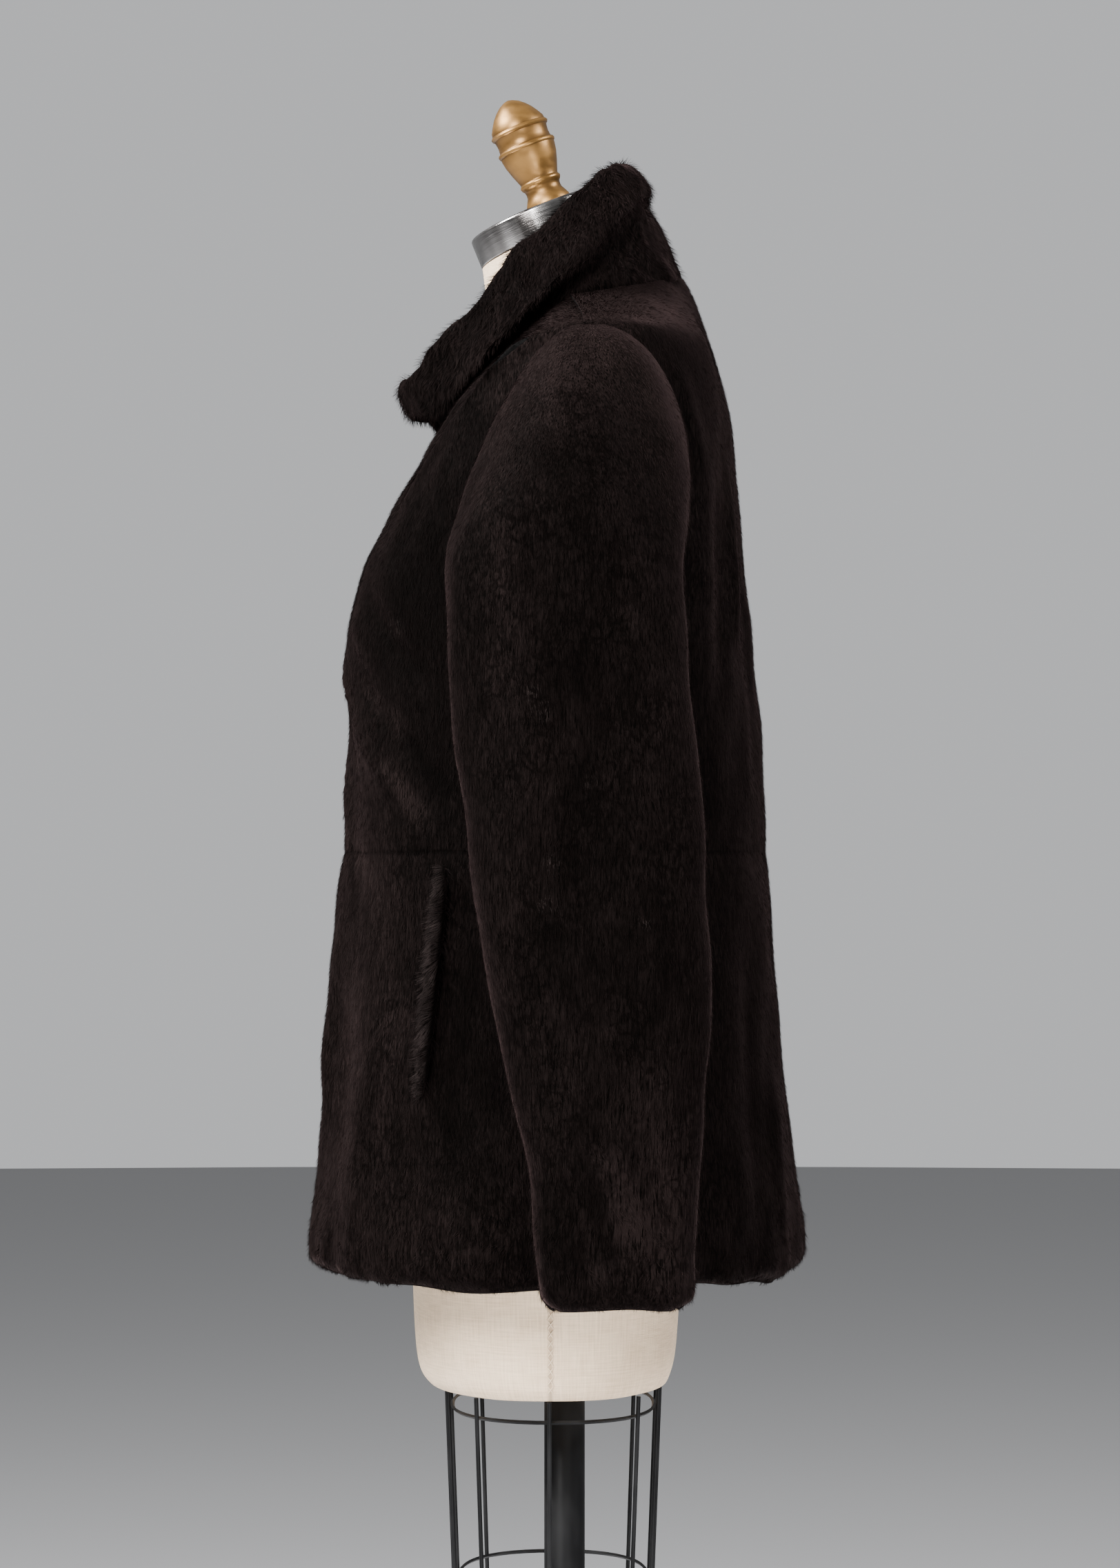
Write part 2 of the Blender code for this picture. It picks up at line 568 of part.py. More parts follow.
def lofted_solid(name, rings, finish, sharp_deg=40, folded_section=False):
    """A solid skinned over closed rings of points and capped at both ends.

    The caps of a folded section join its two faces point by point, as one face would cross itself.
    """
    bm = bmesh.new()
    loops = [[bm.verts.new(p) for p in ring] for ring in rings]
    count = len(loops[0])
    for low, high in zip(loops, loops[1:]):
        for j in range(count):
            k = (j + 1) % count
            bm.faces.new((low[j], low[k], high[k], high[j]))
    for ring in (loops[0], loops[-1]):
        if folded_section:
            half = count // 2
            for i in range(half - 1):
                bm.faces.new((ring[i], ring[i + 1], ring[-i - 2], ring[-i - 1]))
            bm.faces.new((ring[half - 1], ring[half], ring[half + 1]))
        else:
            bmesh.ops.triangulate(bm, faces=[bm.faces.new(ring)])
    return add_object(name, bm, finish, sharp_deg)


def turned_solid(name, profile, finish, steps, sharp_deg=40):
    """A solid of revolution about Z, spun from (height, radius) pairs and closed on the axis."""
    bm = bmesh.new()
    points = [(0.0, profile[0][0]), *((radius, height) for height, radius in profile)]
    points.append((0.0, profile[-1][0]))
    verts = [bm.verts.new((radius, 0.0, height)) for radius, height in points]
    edges = [bm.edges.new(pair) for pair in zip(verts, verts[1:])]
    bmesh.ops.spin(
        bm, geom=verts + edges, cent=(0, 0, 0), axis=(0, 0, 1), angle=2 * math.pi, steps=steps
    )
    bmesh.ops.remove_doubles(bm, verts=bm.verts, dist=1e-5)
    return add_object(name, bm, finish, sharp_deg)


def wire(name, points, radius, finish, closed=False):
    """A round wire along points, as a bevelled curve."""
    curve = bpy.data.curves.new(name, "CURVE")
    curve.dimensions = "3D"
    curve.bevel_depth = radius
    curve.bevel_resolution = 1 if not closed else 0
    curve.use_fill_caps = not closed
    spline = curve.splines.new("POLY")
    spline.points.add(len(points) - 1)
    for target, place in zip(spline.points, points):
        target.co = (*place, 1.0)
    spline.use_cyclic_u = closed
    curve.materials.append(finish)
    placed = bpy.data.objects.new(name, curve)
    bpy.context.scene.collection.objects.link(placed)
    return placed


# ---------------------------------------------------------------- the jacket's pieces
def make_body(fur):
    """Fronts and back, each in a bodice and a skirt piece; returns the neckline's columns."""
    half_gap = SEAM_GAP / 2

    def centre_front(section):
        return half_gap / abs(along(FRONT_Y, section.front_z))

    def side_front(section):
        return section.side_edge(False) - half_gap / along(SIDE_X, section.side_z)

    def side_back(section):
        return section.side_edge(True) + half_gap / along(SIDE_X, section.side_z)

    edges = {
        "left_front": (centre_front, side_front, FRONT_COLUMNS),
        "back": (side_back, lambda s: 2 * math.pi - side_back(s), BACK_COLUMNS),
        "right_front": (lambda s: -side_front(s), lambda s: -centre_front(s), FRONT_COLUMNS),
    }
    neck_rim = []
    for name, (start, end, columns) in edges.items():
        outer, inner = body_panel(skirt_sections(), start, end, columns)
        wall_solid(f"{name}_lower", outer, inner, fur)
        outer, inner = body_panel(bodice_sections(), start, end, columns)
        wall_solid(f"{name}_upper", outer, inner, fur)
        neck_rim += list(zip(outer[-1], inner[-1], outer[-2]))[0 if not neck_rim else 1 :]
    return neck_rim[1:-1]


def sleeve_piece(grid, first, last):
    """The columns of a sleeve from one seam to the next, drawn half a gap back from each seam."""
    around = grid.shape[1]
    piece = np.array([[row[j % around] for j in range(first, last + 1)] for row in grid])
    for edge, beside in ((0, 1), (-1, -2)):
        inwards = piece[:, beside] - piece[:, edge]
        inwards /= np.linalg.norm(inwards, axis=1, keepdims=True)
        piece[:, edge] += inwards * SLEEVE_SEAM_GAP / 2
    return piece


def make_sleeves(fur):
    """Each sleeve is cut in two: a wide outer piece and a narrower one that faces the body."""
    outer, inner = sleeve_grids()
    around = outer.shape[1]
    front_seam = round(SLEEVE_SEAM_DEG / 360 * around)
    back_seam = around - front_seam
    pieces = {"sleeve_top": (front_seam, back_seam), "sleeve_under": (back_seam, around + front_seam)}
    for name, (first, last) in pieces.items():
        walls = sleeve_piece(outer, first, last), sleeve_piece(inner, first, last)
        wall_solid(f"left_{name}", *walls, fur)
        wall_solid(f"right_{name}", *walls, fur, mirror=True)


def make_collar(neck_rim, fur):
    lofted_solid("collar", collar_rings(neck_rim), fur, sharp_deg=60, folded_section=True)


def make_pocket_edge(name, side, fur):
    """The raised fur lip of a pocket mouth, on the skirt's own points moved out."""
    rings = []
    steps = 9
    for k in range(steps + 1):
        share = k / steps
        z = POCKET_TOP_Z + (POCKET_LOW_Z - POCKET_TOP_Z) * share
        middle = math.radians(POCKET_TOP_DEG + (POCKET_LOW_DEG - POCKET_TOP_DEG) * share)
        section, above, below = Section(z), Section(z + 0.004), Section(z - 0.004)
        swell = 0.25 + 0.75 * math.sin(math.pi * share) ** 0.6
        ring = []
        for across, rise in ((-1, 0), (-0.75, 0.6), (-0.1, 1), (0.6, 0.95), (1, 0.5), (1, 0), (0, 0)):
            reach = along(SIDE_X, z)
            angle = side * (middle + across * POCKET_HALF_WIDTH * swell / reach)
            normal = surface_normal(section, above, below, angle)
            lift = SEAM_GAP + 0.0004 + rise * POCKET_HEIGHT * swell
            ring.append(section.point(angle) + normal * lift)
        rings.append(ring)
    lofted_solid(name, rings, fur, sharp_deg=60)


# ---------------------------------------------------------------- the dress form and its stand
def form_ring(front_z, side_z, back_z, front_y, back_y, side_x):
    points = []
    for k in range(FORM_COLUMNS):
        angle = 2 * math.pi * k / FORM_COLUMNS
        ahead = math.cos(angle) > 0
        edge_z, edge_y = (front_z, front_y) if ahead else (back_z, back_y)
        half_depth = abs(edge_y - FORM_MIDDLE_Y)
        reach = oval_reach(angle, side_x, half_depth, 2.25)
        share = reach * abs(math.cos(angle)) / half_depth
        z = side_z + (edge_z - side_z) * share**2
        points.append(np.array((reach * math.sin(angle), FORM_MIDDLE_Y - reach * math.cos(angle), z)))
    return points


def form_yoke_rings():
    """Rings of the form just under the jacket's yoke, where it carries the jacket."""
    sections = bodice_sections()
    first = len(sections) - len(YOKE_SHARES)
    rings = []
    for k in range(first, len(sections)):
        ring = []
        for j in range(FORM_COLUMNS):
            angle = 2 * math.pi * j / FORM_COLUMNS
            inwards = eased_normal(sections, k, angle) * (FUR_WALL + FORM_CLEARANCE)
            ring.append(sections[k].point(angle) - inwards)
        rings.append(ring)
    return rings


def form_rings():
    """The form's sections, from its flat underside to the slanted top of its neck."""
    _, front_y, back_y, side_x = FORM_ROWS[0]
    z, inset = FORM_BOTTOM_Z, FORM_BOTTOM_INSET
    rings = [form_ring(z, z, z, front_y + inset, back_y - inset, side_x - inset)]
    rings += [form_ring(z, z, z, front, back, side) for z, front, back, side in FORM_ROWS]
    rings += [form_ring(*row) for row in FORM_CHEST_ROWS]
    rings += form_yoke_rings()

    start, before = np.array(rings[-1]), np.array(rings[-2])
    axis = np.array((0.0, -math.sin(LEAN), math.cos(LEAN)))
    ahead = np.array((0.0, -math.cos(LEAN), -math.sin(LEAN)))
    for share in FORM_NECK_SHARES:
        ring = []
        for k in range(FORM_COLUMNS):
            angle = 2 * math.pi * k / FORM_COLUMNS
            top = np.array(NECK_TOP_CENTRE)
            top = top + ahead * CAP_HALF_DEPTH * math.cos(angle)
            top[0] += CAP_HALF_WIDTH * math.sin(angle)
            length = np.linalg.norm(top - start[k])
            leave = unit(start[k] - before[k]) * length * 0.4
            ring.append(hermite(start[k], leave, top, axis * length * 0.9, share))
        rings.append(ring)
    return rings


def make_form(linen, steel, gilt):
    lofted_solid("form_torso", form_rings(), linen)

    tilt = Matrix.Rotation(LEAN, 4, "X")
    neck_top = Vector(NECK_TOP_CENTRE)
    axis = tilt @ Vector((0, 0, 1))
    backwards = tilt @ Vector((0, 1, 0))
    bm = bmesh.new()
    bmesh.ops.create_cone(
        bm, cap_ends=True, segments=36, radius1=1.0, radius2=1.0, depth=CAP_HEIGHT
    )
    bmesh.ops.scale(bm, vec=(CAP_HALF_WIDTH, CAP_HALF_DEPTH, 1.0), verts=bm.verts)
    rims = [e for e in bm.edges if abs(e.verts[0].co.z - e.verts[1].co.z) < 1e-6]
    bmesh.ops.bevel(bm, geom=rims, offset=0.0016, segments=1, affect="EDGES", profile=0.5)
    cap = add_object("neck_cap", bm, steel)
    cap.rotation_euler = (LEAN, 0, 0)
    cap.location = neck_top + axis * (CAP_HEIGHT / 2 + SEAM_GAP)

    finial = turned_solid("finial", [*FINIAL, (FINIAL_HEIGHT, 0.0008)], gilt, steps=18)
    finial.rotation_euler = (LEAN, 0, 0)
    finial.location = neck_top + axis * (CAP_HEIGHT + 2 * SEAM_GAP) + backwards * FINIAL_SET_BACK


def cage_half_sizes(z):
    share = (FORM_BOTTOM_Z - z) / (FORM_BOTTOM_Z - CAGE_LOW_Z)
    return [top + (low - top) * share for top, low in zip(CAGE_TOP_HALF, CAGE_LOW_HALF)]


def cage_point(angle, z, inset=0.0):
    half_width, half_depth = (half - inset for half in cage_half_sizes(z))
    reach = oval_reach(angle, half_width, half_depth, CAGE_SQUARENESS)
    return (reach * math.sin(angle), CAGE_MIDDLE_Y - reach * math.cos(angle), z)


def make_stand(black):
    plate = [(0.0, BASE_RADIUS - 0.002), (0.002, BASE_RADIUS), (BASE_HEIGHT - 0.003, BASE_RADIUS)]
    plate += [(BASE_HEIGHT - 0.0008, BASE_RADIUS - 0.002), (BASE_HEIGHT, BASE_RADIUS - 0.006)]
    turned_solid("base_plate", plate, black, steps=40)

    hub_foot = BASE_HEIGHT + SEAM_GAP
    hub = [(hub_foot, HUB_RADIUS), (hub_foot + 0.006, HUB_RADIUS)]
    hub += [(hub_foot + 0.016, HUB_TOP_RADIUS + 0.004), (hub_foot + HUB_HEIGHT - 0.003, HUB_TOP_RADIUS)]
    hub += [(hub_foot + HUB_HEIGHT, HUB_TOP_RADIUS - 0.002)]
    turned_solid("base_hub", hub, black, steps=24)

    pole_foot = hub_foot + HUB_HEIGHT + SEAM_GAP
    pole = [(pole_foot, POLE_RADIUS), (FORM_BOTTOM_Z - SEAM_GAP, POLE_RADIUS)]
    turned_solid("pole", pole, black, steps=24)

    for k, degrees in enumerate(WIRE_DEG):
        angle = math.radians(degrees)
        ends = (FORM_BOTTOM_Z - SEAM_GAP, CAGE_LOW_Z)
        wire(f"cage_wire_{k + 1:02d}", [cage_point(angle, z) for z in ends], WIRE_RADIUS, black)
    for k, z in enumerate(CAGE_RING_Z):
        inset = WIRE_RADIUS + RING_RADIUS + 2 * SEAM_GAP
        turns = 36
        points = [cage_point(2 * math.pi * j / turns, z, inset) for j in range(turns)]
        wire(f"cage_ring_{k + 1}", points, RING_RADIUS, black, closed=True)


def main():
    for old in list(bpy.data.objects):
        bpy.data.objects.remove(old)
    fur = material("sheared_fur", (0.035, 0.027, 0.024), 0.85)
    linen = material("form_linen", (0.80, 0.71, 0.60), 0.80)
    steel = material("cap_steel", (0.62, 0.60, 0.58), 0.25, 1.0)
    gilt = material("finial_gilt", (0.55, 0.38, 0.16), 0.38, 1.0)
    black = material("stand_black", (0.012, 0.012, 0.013), 0.35)
    neck_rim = make_body(fur)
    make_sleeves(fur)
    make_collar(neck_rim, fur)
    make_pocket_edge("left_pocket_edge", 1, fur)
    make_pocket_edge("right_pocket_edge", -1, fur)
    make_form(linen, steel, gilt)
    make_stand(black)


main()
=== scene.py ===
"""The looks of a sheared-fur jacket on a linen dress form with a black wire stand.

Each cut piece of the jacket is a pelt, smoothed and creased from its solid, with its own pile of short
hairs combed over it. The form's cover, its seams, the steel neck cap, the turned finial and the stand
are modelled round the same solids. Metres, +Z up; the jacket faces -Y and the wearer's left is +X.
"""

import math
from collections import namedtuple

import bmesh
import bpy
import numpy as np
from mathutils import Matrix, Vector
from mathutils.bvhtree import BVHTree


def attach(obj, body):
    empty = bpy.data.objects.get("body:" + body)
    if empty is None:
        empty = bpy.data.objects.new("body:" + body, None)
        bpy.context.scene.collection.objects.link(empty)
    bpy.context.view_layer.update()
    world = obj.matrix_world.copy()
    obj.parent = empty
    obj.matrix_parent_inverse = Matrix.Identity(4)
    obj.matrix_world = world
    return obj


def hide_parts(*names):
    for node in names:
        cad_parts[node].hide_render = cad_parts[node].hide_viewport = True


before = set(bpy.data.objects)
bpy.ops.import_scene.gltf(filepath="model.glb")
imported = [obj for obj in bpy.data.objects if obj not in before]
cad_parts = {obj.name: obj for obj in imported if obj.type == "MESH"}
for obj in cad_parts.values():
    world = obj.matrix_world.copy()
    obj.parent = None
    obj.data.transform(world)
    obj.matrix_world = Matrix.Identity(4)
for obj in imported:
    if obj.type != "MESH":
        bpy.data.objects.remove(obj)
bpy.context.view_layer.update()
bpy.ops.object.select_all(action="DESELECT")

# ---------------------------------------------------------------- sizes shared with the solids
HEM_Z, WAIST_Z, CUFF_Z = 0.7505, 1.025, 0.744
FORM_BOTTOM_Z = 0.673
LEAN = math.radians(22)  # of the neck, its cap and the finial
SEAM_GAP = 0.0003  # between hard pieces that stand on each other
NECK_TOP_CENTRE = Vector((0.0, -0.0105, 1.4323))
CAP_HALF_WIDTH, CAP_HALF_DEPTH, CAP_HEIGHT = 0.054, 0.048, 0.020
CAP_LOW_ROUND, CAP_TOP_ROUND = 0.0012, 0.0022
CAP_UNDERCUT = 0.010  # as a share of the cap's half width
FINIAL_SET_BACK = 0.0100
BASE_RADIUS, BASE_HEIGHT, BASE_ROUND = 0.215, 0.012, 0.004
BASE_LOW_EDGE = ((0.0, 0.002), (0.0006, 0.0006), (0.002, 0.0))  # height, and how far in from the rim
HUB_HEIGHT = 0.055
POLE_RADIUS, POLE_END_RADIUS, POLE_BEVEL = 0.0135, 0.0131, 0.0006

# Hub: height above its foot, and radius.
HUB = (
    (0.0, 0.0355), (0.0008, 0.0360), (0.0055, 0.0360), (0.0070, 0.0350), (0.0100, 0.0285),
    (0.0135, 0.0245), (0.0200, 0.0222), (0.0500, 0.0192), (0.0535, 0.0186), (HUB_HEIGHT, 0.0170),
)
# Finial: height and radius.
FINIAL = (
    (0.0000, 0.0150), (0.0010, 0.0155), (0.0030, 0.0156), (0.0060, 0.0150), (0.0085, 0.0138),
    (0.0115, 0.0122), (0.0140, 0.0120), (0.0160, 0.0124), (0.0168, 0.0132), (0.0178, 0.0138),
    (0.0189, 0.0142), (0.0200, 0.0138), (0.0207, 0.0133), (0.0214, 0.0132), (0.0250, 0.0145),
    (0.0290, 0.0160), (0.0355, 0.0180), (0.0405, 0.0189), (0.0421, 0.0190), (0.0425, 0.0196),
    (0.0438, 0.0200), (0.0450, 0.0195), (0.0453, 0.0186), (0.0460, 0.0182), (0.0495, 0.0178),
    (0.0530, 0.0182), (0.0546, 0.0186), (0.0550, 0.0195), (0.0564, 0.0201), (0.0577, 0.0194),
    (0.0581, 0.0187), (0.0605, 0.0184), (0.0645, 0.0162), (0.0685, 0.0136), (0.0720, 0.0105),
    (0.0750, 0.0070), (0.0769, 0.0034), (0.0777, 0.0008),
)

# The sleeve's middle line: height, then place on the wearer's left.
SLEEVE_MIDDLE = (
    # z      x       y
    (0.744, 0.2805, 0.0312), (0.835, 0.2780, 0.0295), (0.934, 0.2725, 0.0219),
    (1.058, 0.2625, 0.0105), (1.180, 0.2495, -0.0010), (1.370, 0.2100, 0.0060),
)
BODY_MIDDLE_Y = 0.002
SIDE_SEAM_Y = -0.009  # the dress form's side seams
STITCH_FOOT = 0.006  # of the lowest stitch, above the form's bottom
STITCH_TOP_Z, STITCH_PITCH, STITCH_HALF_WIDTH, THREAD_RADIUS = 0.800, 0.0060, 0.0021, 0.00042

# ---------------------------------------------------------------- fur
PELT_INSET = 0.0014  # the skin lies this far under the tips of the pile
CREASE_GAIN = 1.9  # the pile softens a crease, so the skin's is deeper
HAIRS_PER_M2 = 560_000
# Kinds of pile: hair length and width, lean from the skin in degrees, how much it waves, how densely it
# stands beside the plain pile, how far forward it is brushed, and its sheen.
Pile = namedtuple("Pile", "length width lean_deg waves density forward sheen")
PILES = {
    # The body's pile has less sheen than the sleeves' to darken the bodice, standing in for the shade on it.
    "body": Pile(0.0052, 0.00042, 16, 0.0, 1.0, 0.0, 0.06),
    "sleeve": Pile(0.0052, 0.00042, 16, 0.0, 1.0, 0.0, 0.11),
    "collar": Pile(0.0070, 0.00042, 27, 0.6, 1.0, 0.0, 0.08),
    "pocket": Pile(0.0090, 0.00040, 24, 0.6, 3.0, 1.4, 0.05),
}
# How much one hair differs from the next: direction, lean and roll in radians, and shares of its size.
LAY_SPREAD, LEAN_SPREAD, ROLL_SPREAD = 0.10, 0.07, 0.24
LENGTH_SHARES, WIDTH_SHARES = (0.80, 1.12), (0.7, 1.3)
LEAN_LIMITS = (0.08, 1.10)  # in radians from the skin
ROOT_DEPTH = 0.0003  # of the hairs' roots under the skin
COMBED_OUT = 0.35  # besides down, so that the hairs on top of the shoulders lie outwards
WAVY_MIDDLE, WAVY_REACH = 0.015, 0.055  # above the cuffs' edge, where every pile is wavy
RUMPLED_REACH = 0.040  # above the hem and the cuffs, where the skin is rumpled

# Soft unevenness, of the skin in metres, of the hairs in radians or as a share of their length.
UNEVEN = {
    # what: rows of amount, size, how much it is squeezed upwards, and seed
    "skin": ((0.0011, 0.055, 1.0, 11),),
    "skin near the edge": ((0.0013, 0.026, 0.3, 12),),
    "line of the edge": ((0.0012, 0.060, 0.0, 13),),
    "collar": ((0.0017, 0.042, 1.0, 31), (0.0006, 0.014, 1.0, 32)),
    "lay": ((0.12, 0.060, 1.0, 21), (0.14, 0.0080, 1.0, 22)),
    "wavy lay": ((0.45, 0.018, 1.6, 23), (0.35, 0.007, 1.0, 28)),
    "lean": ((0.12, 0.024, 1.0, 24), (0.10, 0.0060, 1.0, 25)),
    "wavy lean": ((0.26, 0.013, 1.0, 26), (0.20, 0.006, 1.0, 29)),
    "length": ((0.06, 0.009, 1.0, 27),),
}

# A wall's sides, and its seams.
FUR_SIDE, INNER_SIDE, SEAM_SIDE = 0, 1, 2
WALL_CORNER = math.radians(52)  # a sharper edge divides a wall's sides
MIN_FUR_AREA = 0.012  # seam edges are smaller than this
SEAM_LAP = 0.0024  # how far a seam edge is pressed into the piece it is sewn to
WAIST_REACH, NECKLINE_REACH = 0.0020, 0.0015  # how near a seam a point counts as on it

# Creases finer than the solids' folds: angle from centre front and height at both ends, in degrees and
# metres, half width, and height (+ ridge, - trough).
BODY_CREASES = (
    # top_deg top_z low_deg low_z half_w  height
    (73, 1.349, 57, 1.298, 0.0090, 0.0020),  # left bust, from the shoulder
    (73, 1.338, 52, 1.272, 0.0080, -0.0020),
    (71, 1.327, 46, 1.248, 0.0090, 0.0022),
    (67, 1.308, 63, 1.262, 0.0080, 0.0014),
    (60, 1.262, 50, 1.205, 0.0100, -0.0014),
    (14, 1.164, 56, 1.058, 0.0075, 0.0026),  # left waist, drawn towards the side
    (24, 1.178, 62, 1.082, 0.0100, -0.0018),
    (2, 1.100, 32, 0.996, 0.0080, 0.0021),
    (10, 1.118, 42, 1.030, 0.0090, -0.0016),
    (36, 1.205, 64, 1.128, 0.0110, -0.0013),
    (8, 0.985, 6, 0.800, 0.0130, -0.0018),  # left skirt
    (21, 0.990, 18, 0.830, 0.0120, 0.0019),
    (35, 0.950, 33, 0.790, 0.0110, -0.0014),
    (50, 0.900, 47, 0.752, 0.0140, 0.0020),
    (62, 0.860, 61, 0.752, 0.0100, -0.0015),
    (72, 0.840, 73, 0.752, 0.0100, 0.0013),
    (-72, 1.345, -58, 1.296, 0.0090, 0.0018),  # right half
    (-72, 1.330, -50, 1.262, 0.0085, -0.0018),
    (-66, 1.315, -47, 1.240, 0.0090, 0.0018),
    (-18, 1.156, -54, 1.062, 0.0080, 0.0022),
    (-30, 1.182, -64, 1.100, 0.0110, -0.0016),
    (-4, 1.094, -34, 1.004, 0.0085, 0.0018),
    (-9, 0.980, -7, 0.800, 0.0130, -0.0017),
    (-23, 0.985, -21, 0.850, 0.0120, 0.0018),
    (-38, 0.950, -36, 0.780, 0.0120, -0.0015),
    (-53, 0.880, -50, 0.752, 0.0130, 0.0018),
    (-66, 0.860, -64, 0.752, 0.0100, -0.0014),
    (113, 1.338, 121, 1.268, 0.0080, 0.0022),  # left back, behind the armhole
    (129, 1.285, 124, 1.110, 0.0120, -0.0032),
    (142, 1.290, 137, 1.150, 0.0095, 0.0032),
    (150, 1.250, 147, 1.060, 0.0130, -0.0018),
    (104, 1.020, 101, 0.800, 0.0140, 0.0016),
    (131, 0.960, 129, 0.760, 0.0130, -0.0018),
    (144, 0.900, 143, 0.752, 0.0130, 0.0018),
    (166, 0.980, 167, 0.800, 0.0150, -0.0015),
    (-112, 1.332, -120, 1.262, 0.0080, 0.0020),  # right back
    (-128, 1.275, -123, 1.105, 0.0120, -0.0028),
    (-141, 1.282, -137, 1.140, 0.0100, 0.0028),
    (-152, 1.240, -148, 1.070, 0.0130, -0.0016),
    (-106, 1.010, -103, 0.800, 0.0140, 0.0015),
    (-133, 0.940, -131, 0.770, 0.0130, -0.0016),
    (-155, 0.910, -153, 0.752, 0.0140, 0.0016),
)
# The same on the sleeve; its angle runs from the inner side (0) over the front (90) and outside (180).
SLEEVE_CREASES = (
    (100, 1.300, 96, 1.150, 0.012, -0.0014),
    (140, 1.250, 150, 1.050, 0.014, 0.0018),
    (165, 1.130, 172, 0.985, 0.010, -0.0015),
    (205, 1.210, 212, 1.000, 0.013, -0.0016),
    (112, 1.060, 120, 0.930, 0.011, 0.0014),
    (128, 0.960, 150, 0.870, 0.010, -0.0015),
    (232, 1.000, 214, 0.900, 0.011, 0.0016),
    (250, 0.930, 236, 0.800, 0.010, -0.0016),
    (224, 0.860, 216, 0.750, 0.009, -0.0024),
    (182, 0.850, 178, 0.748, 0.010, 0.0020),
    (152, 0.830, 158, 0.748, 0.010, -0.0016),
    (120, 0.820, 124, 0.748, 0.010, 0.0014),
    (40, 1.000, 36, 0.820, 0.013, 0.0015),
    (330, 1.050, 334, 0.860, 0.013, -0.0015),
)

# The cut of each piece: how wide and long it is laid flat, and its area.
CUTS = (
    # nodes, width, length and area
    (("left_front_upper", "right_front_upper"), 0.275, 0.375, 0.0885),
    (("left_front_lower", "right_front_lower"), 0.328, 0.282, 0.0865),
    (("back_upper",), 0.550, 0.380, 0.1785),
    (("back_lower",), 0.655, 0.282, 0.1690),
    (("left_sleeve_top", "right_sleeve_top"), 0.270, 0.620, 0.1355),
    (("left_sleeve_under", "right_sleeve_under"), 0.150, 0.490, 0.0605),
    (("collar",), 0.540, 0.130, 0.0630),
)

# ---------------------------------------------------------------- colours, as linear values
HAIR_ROOT = (0.0006, 0.0004, 0.0003)
HAIR_TIP = (0.0135, 0.0090, 0.0085)
HAIR_BRUSHED_HIGHLIT = (0.0520, 0.0390, 0.0370)  # along the pocket edges: brushed hair, paler also as a painted highlight on the lips
HAIR_WORN = (0.0800, 0.0600, 0.0560)
SHEEN_TINT = (0.78, 0.50, 0.49)
SUEDE, SUEDE_LIGHT = (0.0050, 0.0038, 0.0034), (0.0130, 0.0098, 0.0088)
# Near-black painted shadow for the seams' edges.
SEAM_SHADOW_DARK, SEAM_SHADOW_LIGHT = (0.0004, 0.0003, 0.0003), (0.0012, 0.0009, 0.0008)
LINEN = (0.900, 0.695, 0.495)
LINEN_SHADE = (0.690, 0.505, 0.335)
SEAM_FOLD_SHADE = (0.420, 0.310, 0.210)
THREAD = (0.760, 0.620, 0.460)
# The steel's colour, drawn between these in bands of painted reflection.
STEEL, STEEL_REFLECTION_DARK = (0.580, 0.560, 0.545), (0.100, 0.092, 0.088)
GILT = (0.250, 0.130, 0.036)
GILT_DARK = (0.085, 0.040, 0.010)
ENAMEL, ENAMEL_DUST = (0.0040, 0.0040, 0.0043), (0.0130, 0.0130, 0.0135)

# Grain of the finishes: stretch along x, y and z, scale per metre, and detail.
GRAINS = {
    "nap_broad": ((1.0, 1.0, 0.55), 11.0, 3.0),
    "nap_ripple": ((1.0, 1.0, 0.50), 62.0, 2.5),
    "combed_hair": ((1.0, 1.0, 0.10), 900.0, 2.0),
    "worn_hair": ((1.0, 1.0, 0.60), 420.0, 3.0),
    "parted_patches": ((1.0, 1.0, 0.70), 30.0, 2.0),
    "suede": ((1.0, 1.0, 1.0), 300.0, 3.0),
    "long_slub": ((1.0, 1.0, 0.05), 900.0, 1.0),
    "cross_slub": ((0.05, 1.0, 1.0), 900.0, 1.0),
    "soil": ((1.0, 1.0, 1.0), 9.0, 3.0),
    "twist": ((1.0, 1.0, 2.5), 700.0, 1.0),
    "brushed_lines": ((0.02, 0.02, 1.0), 2600.0, 2.0),
    "painted_reflection_bands": ((0.4, 1.0, 0.03), 75.0, 1.0),
    "smears": ((1.0, 1.0, 1.0), 60.0, 3.0),
    "gilding": ((1.0, 1.0, 2.0), 90.0, 4.0),
    "enamel_peel": ((1.0, 1.0, 1.0), 420.0, 2.0),
    "enamel_dust": ((1.0, 1.0, 0.6), 35.0, 4.0),
}
TUFTS_PER_METRE, TUFT_SQUEEZE, TUFT_BEND = 150.0, 0.42, 0.010
PARTING_SHADE_SHARE = 0.30  # how light the painted shade leaves the nap in a parting
YARNS_PER_METRE, FORM_RADIUS = 320.0, 0.14  # of the linen's weave, laid round the form

# Faint rubbed spots, most of them outside on the sleeves: place and radius.
WORN_SPOTS = (
    (0.312, -0.0205, 1.1215, 0.0080), (0.312, -0.0140, 1.1100, 0.0090), (0.312, -0.0085, 1.0646, 0.0065),
    (0.312, 0.0157, 1.0679, 0.0060), (0.312, -0.0085, 1.0176, 0.0080), (0.312, -0.0106, 0.9925, 0.0080),
    (0.312, 0.0484, 0.9816, 0.0060), (0.300, 0.0620, 1.2400, 0.0080), (-0.309, 0.0100, 1.1000, 0.0100),
    (-0.314, 0.0300, 0.9600, 0.0080), (-0.300, 0.0200, 1.2200, 0.0080), (0.150, -0.1080, 1.1680, 0.0080),
    (-0.312, -0.0120, 1.0200, 0.0070), (0.0300, 0.1240, 1.2200, 0.0080),
)
SIDEWAYS_WEIGHT = 0.15  # so that a spot reaches the surface wherever it lies across the jacket
